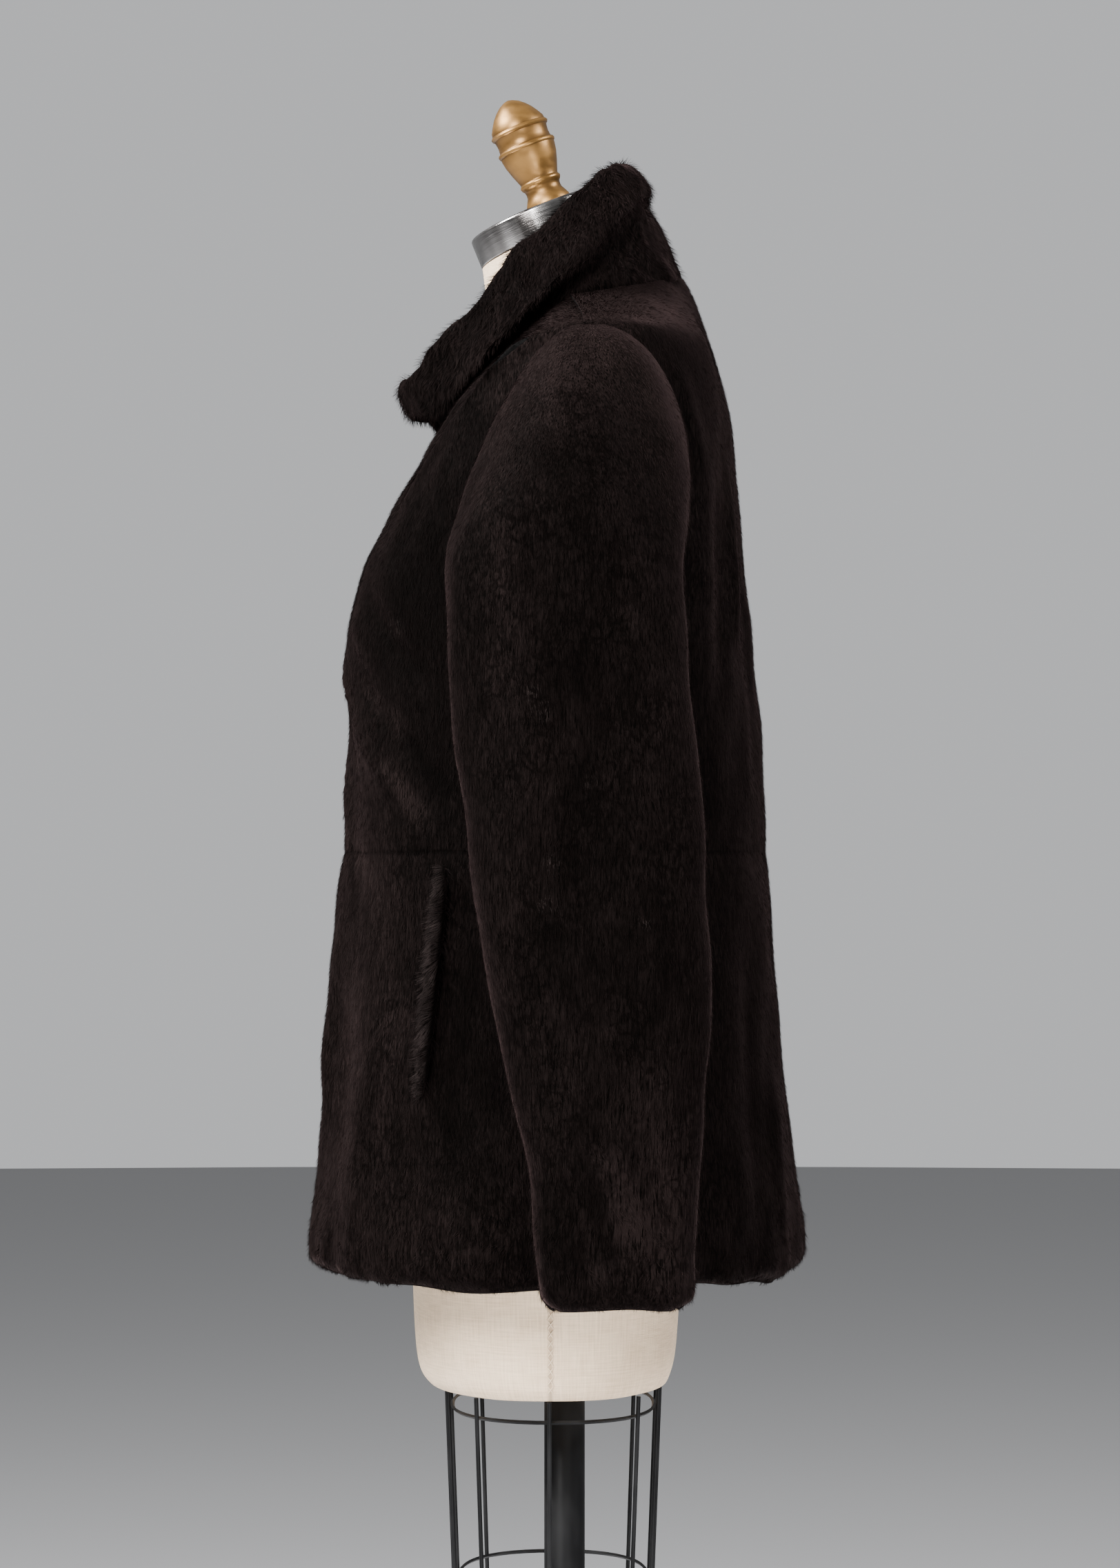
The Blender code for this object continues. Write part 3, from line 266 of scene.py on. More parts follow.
# Painted shade (below 1) and painted highlights (above 1) on the nap, alike on both sides: middle, reach
# along y and z, share.
PAINTED_LIGHT_AND_SHADE_ZONES = (
    # y       z       reach_y reach_z share
    (-0.110, 1.200, 0.075, 0.110, 0.30),  # painted shade over the bust and the front of the waist
    (-0.085, 1.090, 0.050, 0.110, 0.45),
    (0.010, 1.180, 0.040, 0.130, 0.62),  # painted shade on the sleeve's outside
    (0.030, 0.985, 0.045, 0.100, 0.75),
    (0.100, 1.090, 0.040, 0.130, 0.60),  # painted shade on the back, behind the sleeve
    (0.110, 0.900, 0.060, 0.120, 0.65),
    (-0.060, 0.880, 0.040, 0.090, 0.60),  # painted shade beside the pocket
    (-0.010, 1.335, 0.065, 0.050, 2.10),  # painted highlight on the sleeve's head
    (0.085, 1.345, 0.060, 0.035, 0.45),  # painted shade under the collar, at the back
    (-0.045, 1.220, 0.014, 0.110, 1.35),  # painted highlight along the sleeve's front edge
    (0.062, 0.830, 0.018, 0.080, 1.60),  # painted highlight on the sleeve's back edge, near the cuff
    (0.035, 0.775, 0.040, 0.030, 1.35),
    (-0.120, 0.930, 0.030, 0.150, 1.25),  # painted highlight on the front of the skirt
)
# Lines of painted shade and painted highlights on the nap: a painted shadow in the pocket's slit, painted
# highlights on the crests of folds and painted shade in their hollows.
PAINTED_LIGHT_AND_SHADE_LINES = (
    # top_y   top_z   low_y    low_z   half_w  share
    (-0.0723, 1.0145, -0.0871, 0.8714, 0.0030, 0.02),  # painted shadow in the slit behind the pocket's brushed edge
    (-0.1216, 1.0899, -0.0825, 1.0363, 0.0085, 3.00),  # drawn from the waist to the side
    (-0.1080, 1.1100, -0.0700, 1.0520, 0.0080, 0.40),
    (-0.1429, 1.0502, -0.1194, 0.9833, 0.0095, 2.30),
    (-0.1290, 1.1350, -0.0980, 1.0950, 0.0080, 2.60),
    (-0.1350, 0.9700, -0.1420, 0.7900, 0.0090, 1.50),
    (0.0214, 0.8507, 0.0508, 0.7750, 0.0120, 1.90),  # over the cuff
    (0.0120, 0.8350, 0.0299, 0.7650, 0.0080, 0.45),
)
ZONE_EDGE, ZONE_CORE = 1.3, 0.1  # in reaches: where a zone begins and where its share is full
LINE_CORE, LINE_FADE, LINE_FADE_SHARE = 0.3, 0.02, 0.3  # of the half width; length of a line's fading ends
# Painted shade along the seams in the nap: half width of the dark middle and of the whole, and how light the
# middle is.
FRONT_SEAM_SHADE, WAIST_SEAM_SHADE = (0.0010, 0.0035, 0.06), (0.0006, 0.0024, 0.45)
FRONT_SEAM_Y = (-0.06, -0.04)  # the painted shade of the fronts' seam fades out between these
BODY_HALF_WIDTHS = (0.205, 0.210)  # the painted shade of the waist's seam fades out between these, before the sleeves

# ---------------------------------------------------------------- camera, floor and light
CAMERA_PLACE, CAMERA_AIM = (3.5, -0.003, 1.02), (0.0, -0.003, 1.0707)
CAMERA_LENS, CAMERA_SENSOR = 120.5, 36
FLOOR_RADIUS, FLOOR_Z, FLOOR_TINT = 14, -0.0006, (0.62, 0.62, 0.63)
ROOM_TINT = (0.80, 0.81, 0.83, 1.0)
ROOM_TURN = (-0.1, 0.9)  # the room's light falls off between these, towards the wearer's left
ROOM_BRIGHT, ROOM_DIM, BACKDROP = 0.34, 0.09, 0.70
LIGHTS = (
    # name, place, aim, size and watts
    ("key", (2.9, -1.5, 2.6), (0.0, 0.0, 1.0), (1.3, 1.3), 290),
    ("back_top", (0.5, 2.4, 2.9), (0.0, 0.0, 1.1), (1.2, 1.0), 130),
    ("front_top", (0.2, -2.3, 3.2), (0.0, 0.0, 1.0), (1.4, 1.0), 290),
    ("low_fill", (2.8, 0.9, 0.45), (0.0, 0.0, 0.70), (1.0, 0.7), 56),
)


def aimed(place, aim):
    return (Vector(aim) - Vector(place)).to_track_quat("-Z", "Y").to_euler()


def add_camera():
    bpy.ops.object.camera_add(location=CAMERA_PLACE)
    camera = bpy.context.object
    camera.rotation_euler = aimed(CAMERA_PLACE, CAMERA_AIM)
    camera.data.lens = CAMERA_LENS
    camera.data.sensor_width = CAMERA_SENSOR
    bpy.context.scene.camera = camera


def add_area_light(name, place, aim, size, power):
    bpy.ops.object.light_add(type="AREA", location=place)
    lamp = bpy.context.object
    lamp.name = name
    lamp.rotation_euler = aimed(place, aim)
    lamp.data.shape = "RECTANGLE"
    lamp.data.size, lamp.data.size_y = size
    lamp.data.energy = power


def light_room():
    """A room that is dimmer on the wearer's left, before a backdrop paler than the light it gives."""
    world = bpy.context.scene.world or bpy.data.worlds.new("studio")
    bpy.context.scene.world = world
    world.use_nodes = True
    tree = world.node_tree
    sky = tree.nodes["Background"]
    sky.inputs["Color"].default_value = ROOM_TINT
    way = add_node(tree, "ShaderNodeTexCoord").outputs["Generated"]
    sideways = add_node(tree, "ShaderNodeSeparateXYZ", [("Vector", way)]).outputs["X"]
    light = remap(tree, sideways, *ROOM_TURN, ROOM_BRIGHT, ROOM_DIM)
    seen = add_node(tree, "ShaderNodeLightPath").outputs["Is Camera Ray"]
    strength = add_node(tree, "ShaderNodeMapRange", [("Value", seen), ("To Min", light)], To_Max=BACKDROP)
    tree.links.new(strength.outputs["Result"], sky.inputs["Strength"])


def add_studio():
    light_room()
    for light in LIGHTS:
        add_area_light(*light)
    bpy.ops.mesh.primitive_circle_add(
        vertices=96, radius=FLOOR_RADIUS, fill_type="NGON", location=(0, 0, FLOOR_Z)
    )
    floor = bpy.context.object
    floor.name = "pale_floor"
    made, _, _ = new_finish("pale_floor", Base_Color=FLOOR_TINT, Roughness=0.75)
    floor.data.materials.append(made)


# ---------------------------------------------------------------- shader building blocks
def new_finish(name, **values):
    """A material with its Principled shader set by socket name."""
    made = bpy.data.materials.new(name)
    made.use_nodes = True
    shader = made.node_tree.nodes["Principled BSDF"]
    for socket, value in values.items():
        socket = socket.replace("_", " ")
        shader.inputs[socket].default_value = (*value, 1.0) if isinstance(value, tuple) else value
    return made, made.node_tree, shader


def add_node(tree, kind, links=(), **values):
    """A node with its properties or sockets set, joined to (socket, from_socket) links."""
    node = tree.nodes.new(kind)
    for key, value in values.items():
        if hasattr(node, key):
            setattr(node, key, value)
        else:
            node.inputs[key.replace("_", " ")].default_value = value
    for name, source in links:
        tree.links.new(source, node.inputs[name])
    return node


def maths(tree, operation, first, second=None, clamp=False):
    """A Math node on sockets or numbers; returns its output."""
    node = tree.nodes.new("ShaderNodeMath")
    node.operation = operation
    node.use_clamp = clamp
    for place, value in enumerate((first, second)):
        if value is None:
            continue
        if isinstance(value, (int, float)):
            node.inputs[place].default_value = value
        else:
            tree.links.new(value, node.inputs[place])
    return node.outputs[0]


def times(tree, first, second, clamp=False):
    return maths(tree, "MULTIPLY", first, second, clamp)


def plus(tree, first, second):
    return maths(tree, "ADD", first, second)


def taken_together(tree, operation, values):
    """All the values of a list, joined one after another by the same operation."""
    total = None
    for value in values:
        total = value if total is None else maths(tree, operation, total, value)
    return total


def blend_colours(tree, share, first, second):
    """Mixes two colours or colour sockets by a share; returns the colour."""
    node = tree.nodes.new("ShaderNodeMix")
    node.data_type = "RGBA"
    tree.links.new(share, node.inputs["Factor"])
    for socket, value in ((node.inputs[6], first), (node.inputs[7], second)):
        if isinstance(value, tuple):
            socket.default_value = (*value, 1.0)
        else:
            tree.links.new(value, socket)
    return node.outputs[2]


def remap(tree, value, low, high, new_low=0.0, new_high=1.0, easing="LINEAR"):
    """A value carried from one range to another and held within it."""
    node = add_node(tree, "ShaderNodeMapRange", [("Value", value)], interpolation_type=easing)
    for name, number in (("From Min", low), ("From Max", high), ("To Min", new_low), ("To Max", new_high)):
        node.inputs[name].default_value = number
    return node.outputs["Result"]


def grain(tree, vector, kind):
    """Noise from the table of grains, drawn out one way; returns its value."""
    stretch, scale, detail = GRAINS[kind]
    scaled = add_node(tree, "ShaderNodeMapping", [("Vector", vector)], Scale=stretch)
    noise = add_node(
        tree, "ShaderNodeTexNoise", [("Vector", scaled.outputs["Vector"])], Scale=scale, Detail=detail
    )
    return noise.outputs["Fac"]


def object_place(tree):
    return add_node(tree, "ShaderNodeTexCoord").outputs["Object"]


def set_colour(tree, shader, colour):
    tree.links.new(colour, shader.inputs["Base Color"])


def set_bump(tree, shader, height, distance, strength=1.0):
    bump = add_node(tree, "ShaderNodeBump", [("Height", height)], Distance=distance, Strength=strength)
    tree.links.new(bump.outputs["Normal"], shader.inputs["Normal"])


def new_group(name, *outputs):
    """An empty node group that takes a place and puts out values."""
    tree = bpy.data.node_groups.new(name, "ShaderNodeTree")
    tree.interface.new_socket("Place", in_out="INPUT", socket_type="NodeSocketVector")
    for label in outputs:
        tree.interface.new_socket(label, in_out="OUTPUT", socket_type="NodeSocketFloat")
    place = tree.nodes.new("NodeGroupInput").outputs["Place"]
    return tree, place, tree.nodes.new("NodeGroupOutput")


def use_group(tree, group, place):
    node = tree.nodes.new("ShaderNodeGroup")
    node.node_tree = group
    tree.links.new(place, node.inputs["Place"])
    return node


# ---------------------------------------------------------------- finishes
def painted_zone_share(tree, place, y, z, reach_y, reach_z, share):
    """How much painted shade or painted highlight lies on the nap in one zone, fading out at its edge."""
    scaled = add_node(
        tree, "ShaderNodeMapping", [("Vector", place)],
        Location=(0.0, -y / reach_y, -z / reach_z), Scale=(0.0, 1 / reach_y, 1 / reach_z),
    )
    away = add_node(tree, "ShaderNodeVectorMath", [(0, scaled.outputs["Vector"])], operation="LENGTH")
    return remap(tree, away.outputs["Value"], ZONE_EDGE, ZONE_CORE, 1.0, share, "SMOOTHSTEP")


def painted_line_share(tree, place, top_y, top_z, low_y, low_z, half_width, share):
    """How much painted shade or painted highlight lies on the nap along one line."""
    parts = add_node(tree, "ShaderNodeSeparateXYZ", [("Vector", place)])
    length = math.hypot(low_y - top_y, low_z - top_z)
    along_y, along_z = (low_y - top_y) / length, (low_z - top_z) / length
    y = maths(tree, "SUBTRACT", parts.outputs["Y"], top_y)
    z = maths(tree, "SUBTRACT", parts.outputs["Z"], top_z)
    run = plus(tree, times(tree, y, along_y), times(tree, z, along_z))
    off = maths(tree, "SUBTRACT", times(tree, y, along_z), times(tree, z, along_y))
    near = remap(tree, maths(tree, "ABSOLUTE", off), half_width, half_width * LINE_CORE)
    fade = min(LINE_FADE_SHARE * length, LINE_FADE)
    ends = times(tree, remap(tree, run, 0.0, fade), remap(tree, run, length, length - fade))
    return remap(tree, times(tree, near, ends), 0.0, 1.0, 1.0, share)


def painted_seam_shade(tree, place):
    """Painted shade where the pile parts along the waist seam and where the fronts meet."""
    parts = add_node(tree, "ShaderNodeSeparateXYZ", [("Vector", place)])
    from_middle = maths(tree, "ABSOLUTE", parts.outputs["X"])
    fronts = remap(tree, from_middle, *FRONT_SEAM_SHADE, 1.0)
    fronts = maths(tree, "MAXIMUM", fronts, remap(tree, parts.outputs["Y"], *FRONT_SEAM_Y))
    from_waist = maths(tree, "ABSOLUTE", maths(tree, "SUBTRACT", parts.outputs["Z"], WAIST_Z))
    off_body = remap(tree, from_middle, *BODY_HALF_WIDTHS)
    waist = maths(tree, "MAXIMUM", remap(tree, from_waist, *WAIST_SEAM_SHADE, 1.0), off_body)
    return times(tree, fronts, waist)


def nap_drift(tree, place):
    """Broad and small soft changes in how the nap lies."""
    broad, ripple = grain(tree, place, "nap_broad"), grain(tree, place, "nap_ripple")
    shade = plus(tree, times(tree, broad, 0.62), times(tree, ripple, 0.38))
    return remap(tree, shade, 0.36, 0.62, 0.30, 1.0)


def worn_patches(tree, place):
    """Where the hair is rubbed, by the table of spots, broken up by its own grain."""
    flat = add_node(tree, "ShaderNodeMapping", [("Vector", place)], Scale=(SIDEWAYS_WEIGHT, 1.0, 1.0))
    spots = []
    for x, y, z, radius in WORN_SPOTS:
        away = add_node(tree, "ShaderNodeVectorMath", [(0, flat.outputs["Vector"])], operation="DISTANCE")
        away.inputs[1].default_value = (x * SIDEWAYS_WEIGHT, y, z)
        spots.append(remap(tree, away.outputs["Value"], radius, 0.0))
    worn = taken_together(tree, "MAXIMUM", spots)
    broken = remap(tree, grain(tree, place, "worn_hair"), 0.46, 0.62)
    return times(tree, worn, broken, clamp=True)


def painted_parting_shade(tree, place):
    """Painted shade in fine cracks between tufts of the pile, stronger in some patches than in others."""
    bent = add_node(tree, "ShaderNodeTexNoise", [("Vector", place)], Scale=TUFTS_PER_METRE, Detail=2.0)
    bend = add_node(
        tree, "ShaderNodeVectorMath", [(0, bent.outputs["Color"])], operation="SCALE", Scale=TUFT_BEND
    )
    moved = [(0, place), (1, bend.outputs["Vector"])]
    warped = add_node(tree, "ShaderNodeVectorMath", moved, operation="ADD")
    tall = add_node(
        tree, "ShaderNodeMapping", [("Vector", warped.outputs["Vector"])], Scale=(1.0, 1.0, TUFT_SQUEEZE)
    )
    tufts = add_node(
        tree, "ShaderNodeTexVoronoi", [("Vector", tall.outputs["Vector"])],
        feature="DISTANCE_TO_EDGE", Scale=TUFTS_PER_METRE,
    )
    patchy = remap(tree, grain(tree, place, "parted_patches"), 0.36, 0.60, 0.25, 1.0)
    return times(tree, remap(tree, tufts.outputs["Distance"], 0.16, 0.02), patchy)


def nap_group():
    """Soft shading of the nap, with painted shade and highlights in zones, along lines, at the seams and in
    the cracks between tufts, and its small worn patches, for the hairs and the skin alike.
    """
    tree, place, out = new_group("nap", "Shade", "Worn", "Streak")
    shares = [nap_drift(tree, place), painted_seam_shade(tree, place)]
    shares += [painted_zone_share(tree, place, *zone) for zone in PAINTED_LIGHT_AND_SHADE_ZONES]
    shares += [painted_line_share(tree, place, *line) for line in PAINTED_LIGHT_AND_SHADE_LINES]
    shares.append(remap(tree, painted_parting_shade(tree, place), 0.0, 1.0, 1.0, PARTING_SHADE_SHARE))
    tree.links.new(taken_together(tree, "MULTIPLY", shares), out.inputs["Shade"])
    tree.links.new(worn_patches(tree, place), out.inputs["Worn"])
    tree.links.new(grain(tree, place, "combed_hair"), out.inputs["Streak"])
    return tree


def new_fur_finish(name, kind):
    return new_finish(
        name, Roughness=0.75, Specular_IOR_Level=0.01, Sheen_Weight=PILES[kind].sheen,
        Sheen_Roughness=0.30, Sheen_Tint=SHEEN_TINT,
    )


def hair_finish(nap, kind):
    """Hair: dark at the root and brown at the tip, each hair a little different, with a soft sheen."""
    made, tree, shader = new_fur_finish(f"{kind}_fur", kind)
    # The pocket lips' paler tips are brushed hair and partly a painted highlight.
    tip = HAIR_BRUSHED_HIGHLIT if kind == "pocket" else HAIR_TIP
    strand = add_node(tree, "ShaderNodeUVMap", uv_map="strand")
    parts = add_node(tree, "ShaderNodeSeparateXYZ", [("Vector", strand.outputs["UV"])])
    own, along = parts.outputs["X"], parts.outputs["Y"]
    fur = use_group(tree, nap, object_place(tree))
    lit = times(tree, remap(tree, along, 0.0, 1.0, 0.25, 1.0), remap(tree, own, 0.0, 1.0, 0.4, 1.2))
    # The nap's Shade brings its painted shade and highlights into the hair's colour.
    lit = times(tree, lit, fur.outputs["Shade"], clamp=True)
    colour = blend_colours(tree, lit, HAIR_ROOT, tip)
    worn = times(tree, fur.outputs["Worn"], times(tree, along, own), clamp=True)
    set_colour(tree, shader, blend_colours(tree, worn, colour, HAIR_WORN))
    return made


def skin_finish(nap, kind):
    """The depth of the pile, which shows between the hairs: the same fur with a fine combed grain."""
    made, tree, shader = new_fur_finish(f"{kind}_fur_ground", kind)
    fur = use_group(tree, nap, object_place(tree))
    streak = fur.outputs["Streak"]
    # The nap's Shade brings its painted shade and highlights into the ground's colour.
    lit = times(tree, remap(tree, streak, 0.35, 0.65), fur.outputs["Shade"], clamp=True)
    set_colour(tree, shader, blend_colours(tree, times(tree, lit, 0.6), HAIR_ROOT, HAIR_TIP))
    set_bump(tree, shader, streak, 0.0006, 0.6)
    return made


def suede_finish(name, dark, light):
    """Bare skin: the plain inner side of the pelts, and a near-black painted shadow in the depth of their
    seams.
    """
    made, tree, shader = new_finish(name, Roughness=0.9, Specular_IOR_Level=0.1)
    suede = grain(tree, object_place(tree), "suede")
    set_colour(tree, shader, blend_colours(tree, suede, dark, light))
    set_bump(tree, shader, suede, 0.0004)
    return made


def thread_wave(tree, vector, direction):
    wave = add_node(
        tree, "ShaderNodeTexWave", [("Vector", vector)], bands_direction=direction,
        Scale=YARNS_PER_METRE, Distortion=1.2, Detail=1.5, Detail_Scale=1.5,
    )
    return wave.outputs["Fac"]


def weave_group():
    """A plain weave of slubbed yarn: a height and a slub mask."""
    tree, place, out = new_group("linen_weave", "Height", "Slub")
    parts = add_node(tree, "ShaderNodeSeparateXYZ", [("Vector", place)])
    around = maths(tree, "ARCTAN2", parts.outputs["X"], parts.outputs["Y"])
    laid = [("X", times(tree, around, FORM_RADIUS)), ("Z", parts.outputs["Z"])]
    flat = add_node(tree, "ShaderNodeCombineXYZ", laid).outputs["Vector"]
    yarns = plus(tree, thread_wave(tree, flat, "X"), thread_wave(tree, flat, "Z"))
    tree.links.new(times(tree, yarns, 0.5), out.inputs["Height"])
    slubs = plus(tree, grain(tree, flat, "long_slub"), grain(tree, flat, "cross_slub"))
    tree.links.new(times(tree, slubs, 0.5), out.inputs["Slub"])
    return tree


def linen_finish():
    """Cream linen, pulled tight over the form, with painted shade in the fold of its side seams."""
    made, tree, shader = new_finish("form_linen", Roughness=0.86, Specular_IOR_Level=0.20, Sheen_Weight=0.05)
    place = object_place(tree)
    weave = use_group(tree, weave_group(), place)
    tone = plus(tree, times(tree, weave.outputs["Slub"], 0.75), times(tree, grain(tree, place, "soil"), 0.35))
    colour = blend_colours(tree, remap(tree, tone, 0.40, 0.66), LINEN_SHADE, LINEN)
    across = add_node(tree, "ShaderNodeSeparateXYZ", [("Vector", place)]).outputs["Y"]
    off = maths(tree, "ABSOLUTE", maths(tree, "SUBTRACT", across, SIDE_SEAM_Y))
    # Painted shade along the fold of the side seam.
    fold = times(tree, remap(tree, off, 0.0022, 0.0006), 0.75)
    set_colour(tree, shader, blend_colours(tree, fold, colour, SEAM_FOLD_SHADE))
    set_bump(tree, shader, weave.outputs["Height"], 0.00025, 0.55)
    return made


def thread_finish():
    made, tree, shader = new_finish("seam_thread", Roughness=0.75)
    twist = grain(tree, object_place(tree), "twist")
    set_colour(tree, shader, blend_colours(tree, twist, LINEN_SHADE, THREAD))
    return made


def steel_finish():
    """Brushed steel: fine lines round the cap, in darker and brighter bands of painted reflection."""
    made, tree, shader = new_finish("cap_steel", Metallic=1.0, Roughness=0.22)
    place = object_place(tree)
    turned = add_node(tree, "ShaderNodeMapping", [("Vector", place)], Rotation=(-LEAN, 0.0, 0.0))
    lines = grain(tree, turned.outputs["Vector"], "brushed_lines")
    # Dark and bright bands of painted reflection in the steel's colour.
    bands = grain(tree, turned.outputs["Vector"], "painted_reflection_bands")
    tone = times(tree, remap(tree, bands, 0.36, 0.62), remap(tree, lines, 0.2, 0.8, 0.8, 1.0))
    set_colour(tree, shader, blend_colours(tree, tone, STEEL_REFLECTION_DARK, STEEL))
    rough = remap(tree, plus(tree, lines, grain(tree, place, "smears")), 0.6, 1.4, 0.14, 0.30)
    tree.links.new(rough, shader.inputs["Roughness"])
    set_bump(tree, shader, lines, 0.00008)
    return made


def gilt_finish():
    """Satin gilt paint, a little darker in its hollows and uneven where it was brushed on."""
    made, tree, shader = new_finish("finial_gilt", Metallic=0.72, Roughness=0.38, Specular_IOR_Level=0.5)
    uneven = grain(tree, object_place(tree), "gilding")
    hollow = add_node(tree, "ShaderNodeNewGeometry").outputs["Pointiness"]
    tone = times(tree, remap(tree, uneven, 0.25, 0.6, 0.65, 1.0), remap(tree, hollow, 0.44, 0.52))
    set_colour(tree, shader, blend_colours(tree, tone, GILT_DARK, GILT))
    tree.links.new(remap(tree, uneven, 0.3, 0.7, 0.30, 0.46), shader.inputs["Roughness"])
    set_bump(tree, shader, uneven, 0.0002, 0.4)
    return made


def enamel_finish():
    """Satin black enamel with a faint dusty unevenness."""
    made, tree, shader = new_finish("stand_black", Roughness=0.46, Specular_IOR_Level=0.10)
    place = object_place(tree)
    dust = grain(tree, place, "enamel_dust")
    set_colour(tree, shader, blend_colours(tree, remap(tree, dust, 0.45, 0.75), ENAMEL, ENAMEL_DUST))
    tree.links.new(remap(tree, dust, 0.35, 0.7, 0.42, 0.54), shader.inputs["Roughness"])
    set_bump(tree, shader, grain(tree, place, "enamel_peel"), 0.0001, 0.3)
    return made


# ---------------------------------------------------------------- pieces from solids
def welded_copy(node, name):
    """A new object with the node's shape, its triangles joined up and paired into quads."""
    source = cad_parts[node].data
    mesh = bpy.data.meshes.new(name)
    mesh.from_pydata(
        [v.co[:] for v in source.vertices], [], [tuple(p.vertices) for p in source.polygons]
    )
    piece = bpy.data.objects.new(name, mesh)
    bpy.context.scene.collection.objects.link(piece)
    bpy.ops.object.select_all(action="DESELECT")
    bpy.context.view_layer.objects.active = piece
    piece.select_set(True)
    bpy.ops.object.mode_set(mode="EDIT")
    bpy.ops.mesh.select_all(action="SELECT")
    bpy.ops.mesh.remove_doubles(threshold=0.00001)
    flat_pair = math.radians(60)
    bpy.ops.mesh.tris_convert_to_quads(face_threshold=flat_pair, shape_threshold=flat_pair)
    bpy.ops.object.mode_set(mode="OBJECT")
    return piece


def apply_subdivision(piece, levels):
    bpy.context.view_layer.objects.active = piece
    smooth = piece.modifiers.new("smooth", "SUBSURF")
    smooth.levels = smooth.render_levels = levels
    bpy.ops.object.modifier_apply(modifier=smooth.name)


def settle(piece, node, sharp_deg=40):
    """Shades a finished piece, hangs it on the root, and hides the solid that it stands for."""
    bpy.ops.object.select_all(action="DESELECT")
    bpy.context.view_layer.objects.active = piece
    piece.select_set(True)
    bpy.ops.object.shade_smooth_by_angle(angle=math.radians(sharp_deg))
    piece.select_set(False)
    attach(piece, "root")
    if node:
        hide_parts(node)


def mark_edges(bm, angle, wanted=None):
    """Marks a mesh's sharp edges, so that they stay sharp while it is smoothed; returns the marks."""
    marks = bm.edges.layers.float.new("crease_edge")
    for edge in bm.edges:
        if len(edge.link_faces) == 2 and edge.calc_face_angle() > angle:
            if wanted is None or wanted(edge):
                edge[marks] = 1.0
    return marks


def mark_rims(piece, angle_deg):
    bm = bmesh.new()
    bm.from_mesh(piece.data)
    mark_edges(bm, math.radians(angle_deg))
    bm.to_mesh(piece.data)
    bm.free()


def neckline_test():
    """Tells whether an edge of the collar lies on the panels that it is sewn to."""
    trees = []
    for name in ("back_upper", "left_front_upper", "right_front_upper"):
        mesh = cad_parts[name].data
        trees.append(BVHTree.FromPolygons([v.co for v in mesh.vertices], [p.vertices for p in mesh.polygons]))

    def on_neckline(edge):
        middle = edge.verts[0].co.lerp(edge.verts[1].co, 0.5)
        return any(tree.find_nearest(middle, NECKLINE_REACH)[0] for tree in trees)

    return on_neckline


def wall_regions(bm, marks):
    """A wall's faces in groups, divided along its marked edges."""
    regions, seen = [], set()
    for face in bm.faces:
        if face in seen:
            continue
        group, waiting = [], [face]
        seen.add(face)
        while waiting:
            here = waiting.pop()
            group.append(here)
            open_edges = [edge for edge in here.edges if edge[marks] == 0]
            for other in (near for edge in open_edges for near in edge.link_faces):
                if other not in seen:
                    seen.add(other)
                    waiting.append(other)
        regions.append(group)
    return regions


def part_sides(piece, outward, fold_over=False):
    """Gives each face of a wall its side: fur outside and round the hem, bare inside, and bare with a painted
    shadow at the seams.
    """
    bm = bmesh.new()
    bm.from_mesh(piece.data)
    bm.normal_update()
    marks = mark_edges(bm, WALL_CORNER, neckline_test() if fold_over else None)
    for group in wall_regions(bm, marks):
        facing = sum(f.normal.dot(outward(f.calc_center_median())) * f.calc_area() for f in group)
        area = sum(f.calc_area() for f in group)
        side = FUR_SIDE if fold_over or facing > 0 else INNER_SIDE
        if area < MIN_FUR_AREA:
            side = SEAM_SIDE
            close_seam(group)
        for face in group:
            face.material_index = side
    bm.to_mesh(piece.data)
    bm.free()


def close_seam(faces):
    """Draws a wall's seam edge out until it is pressed into the piece it is sewn to."""
    for vert in {vert for face in faces for vert in face.verts}:
        outwards = sum((face.normal for face in faces if vert in face.verts), Vector())
        vert.co += outwards.normalized() * SEAM_LAP


def from_body_axis(place):
    return Vector((place.x, place.y - BODY_MIDDLE_Y, 0.0)).normalized()


def sleeve_middle(z, side):
    table = np.array(SLEEVE_MIDDLE)
    return side * np.interp(z, table[:, 0], table[:, 1]), np.interp(z, table[:, 0], table[:, 2])


def from_sleeve_axis(side):
    def outward(place):
        x, y = sleeve_middle(place.z, side)
        return Vector((place.x - x, place.y - y, 0.0)).normalized()

    return outward


def mesh_arrays(piece):
    """Points, and the triangles of the fur side with their normals and areas."""
    mesh = piece.data
    points = np.empty(len(mesh.vertices) * 3)
    mesh.vertices.foreach_get("co", points)
    points = points.reshape(-1, 3)
    mesh.calc_loop_triangles()
    tris = np.empty(len(mesh.loop_triangles) * 3, dtype=int)
    mesh.loop_triangles.foreach_get("vertices", tris)
    tris = tris.reshape(-1, 3)
    sides = np.empty(len(mesh.loop_triangles), dtype=int)
    mesh.loop_triangles.foreach_get("material_index", sides)
    tris = tris[sides == FUR_SIDE]
    cross = np.cross(points[tris[:, 1]] - points[tris[:, 0]], points[tris[:, 2]] - points[tris[:, 0]])
    return points, tris, cross


def fur_side_normals(points, tris, cross):
    normals = np.zeros_like(points)
    for corner in range(3):
        np.add.at(normals, tris[:, corner], cross)
    length = np.linalg.norm(normals, axis=1, keepdims=True)
    return np.divide(normals, length, out=np.zeros_like(normals), where=length > 0)


def put_points(piece, points):
    piece.data.vertices.foreach_set("co", points.ravel())
    piece.data.update()


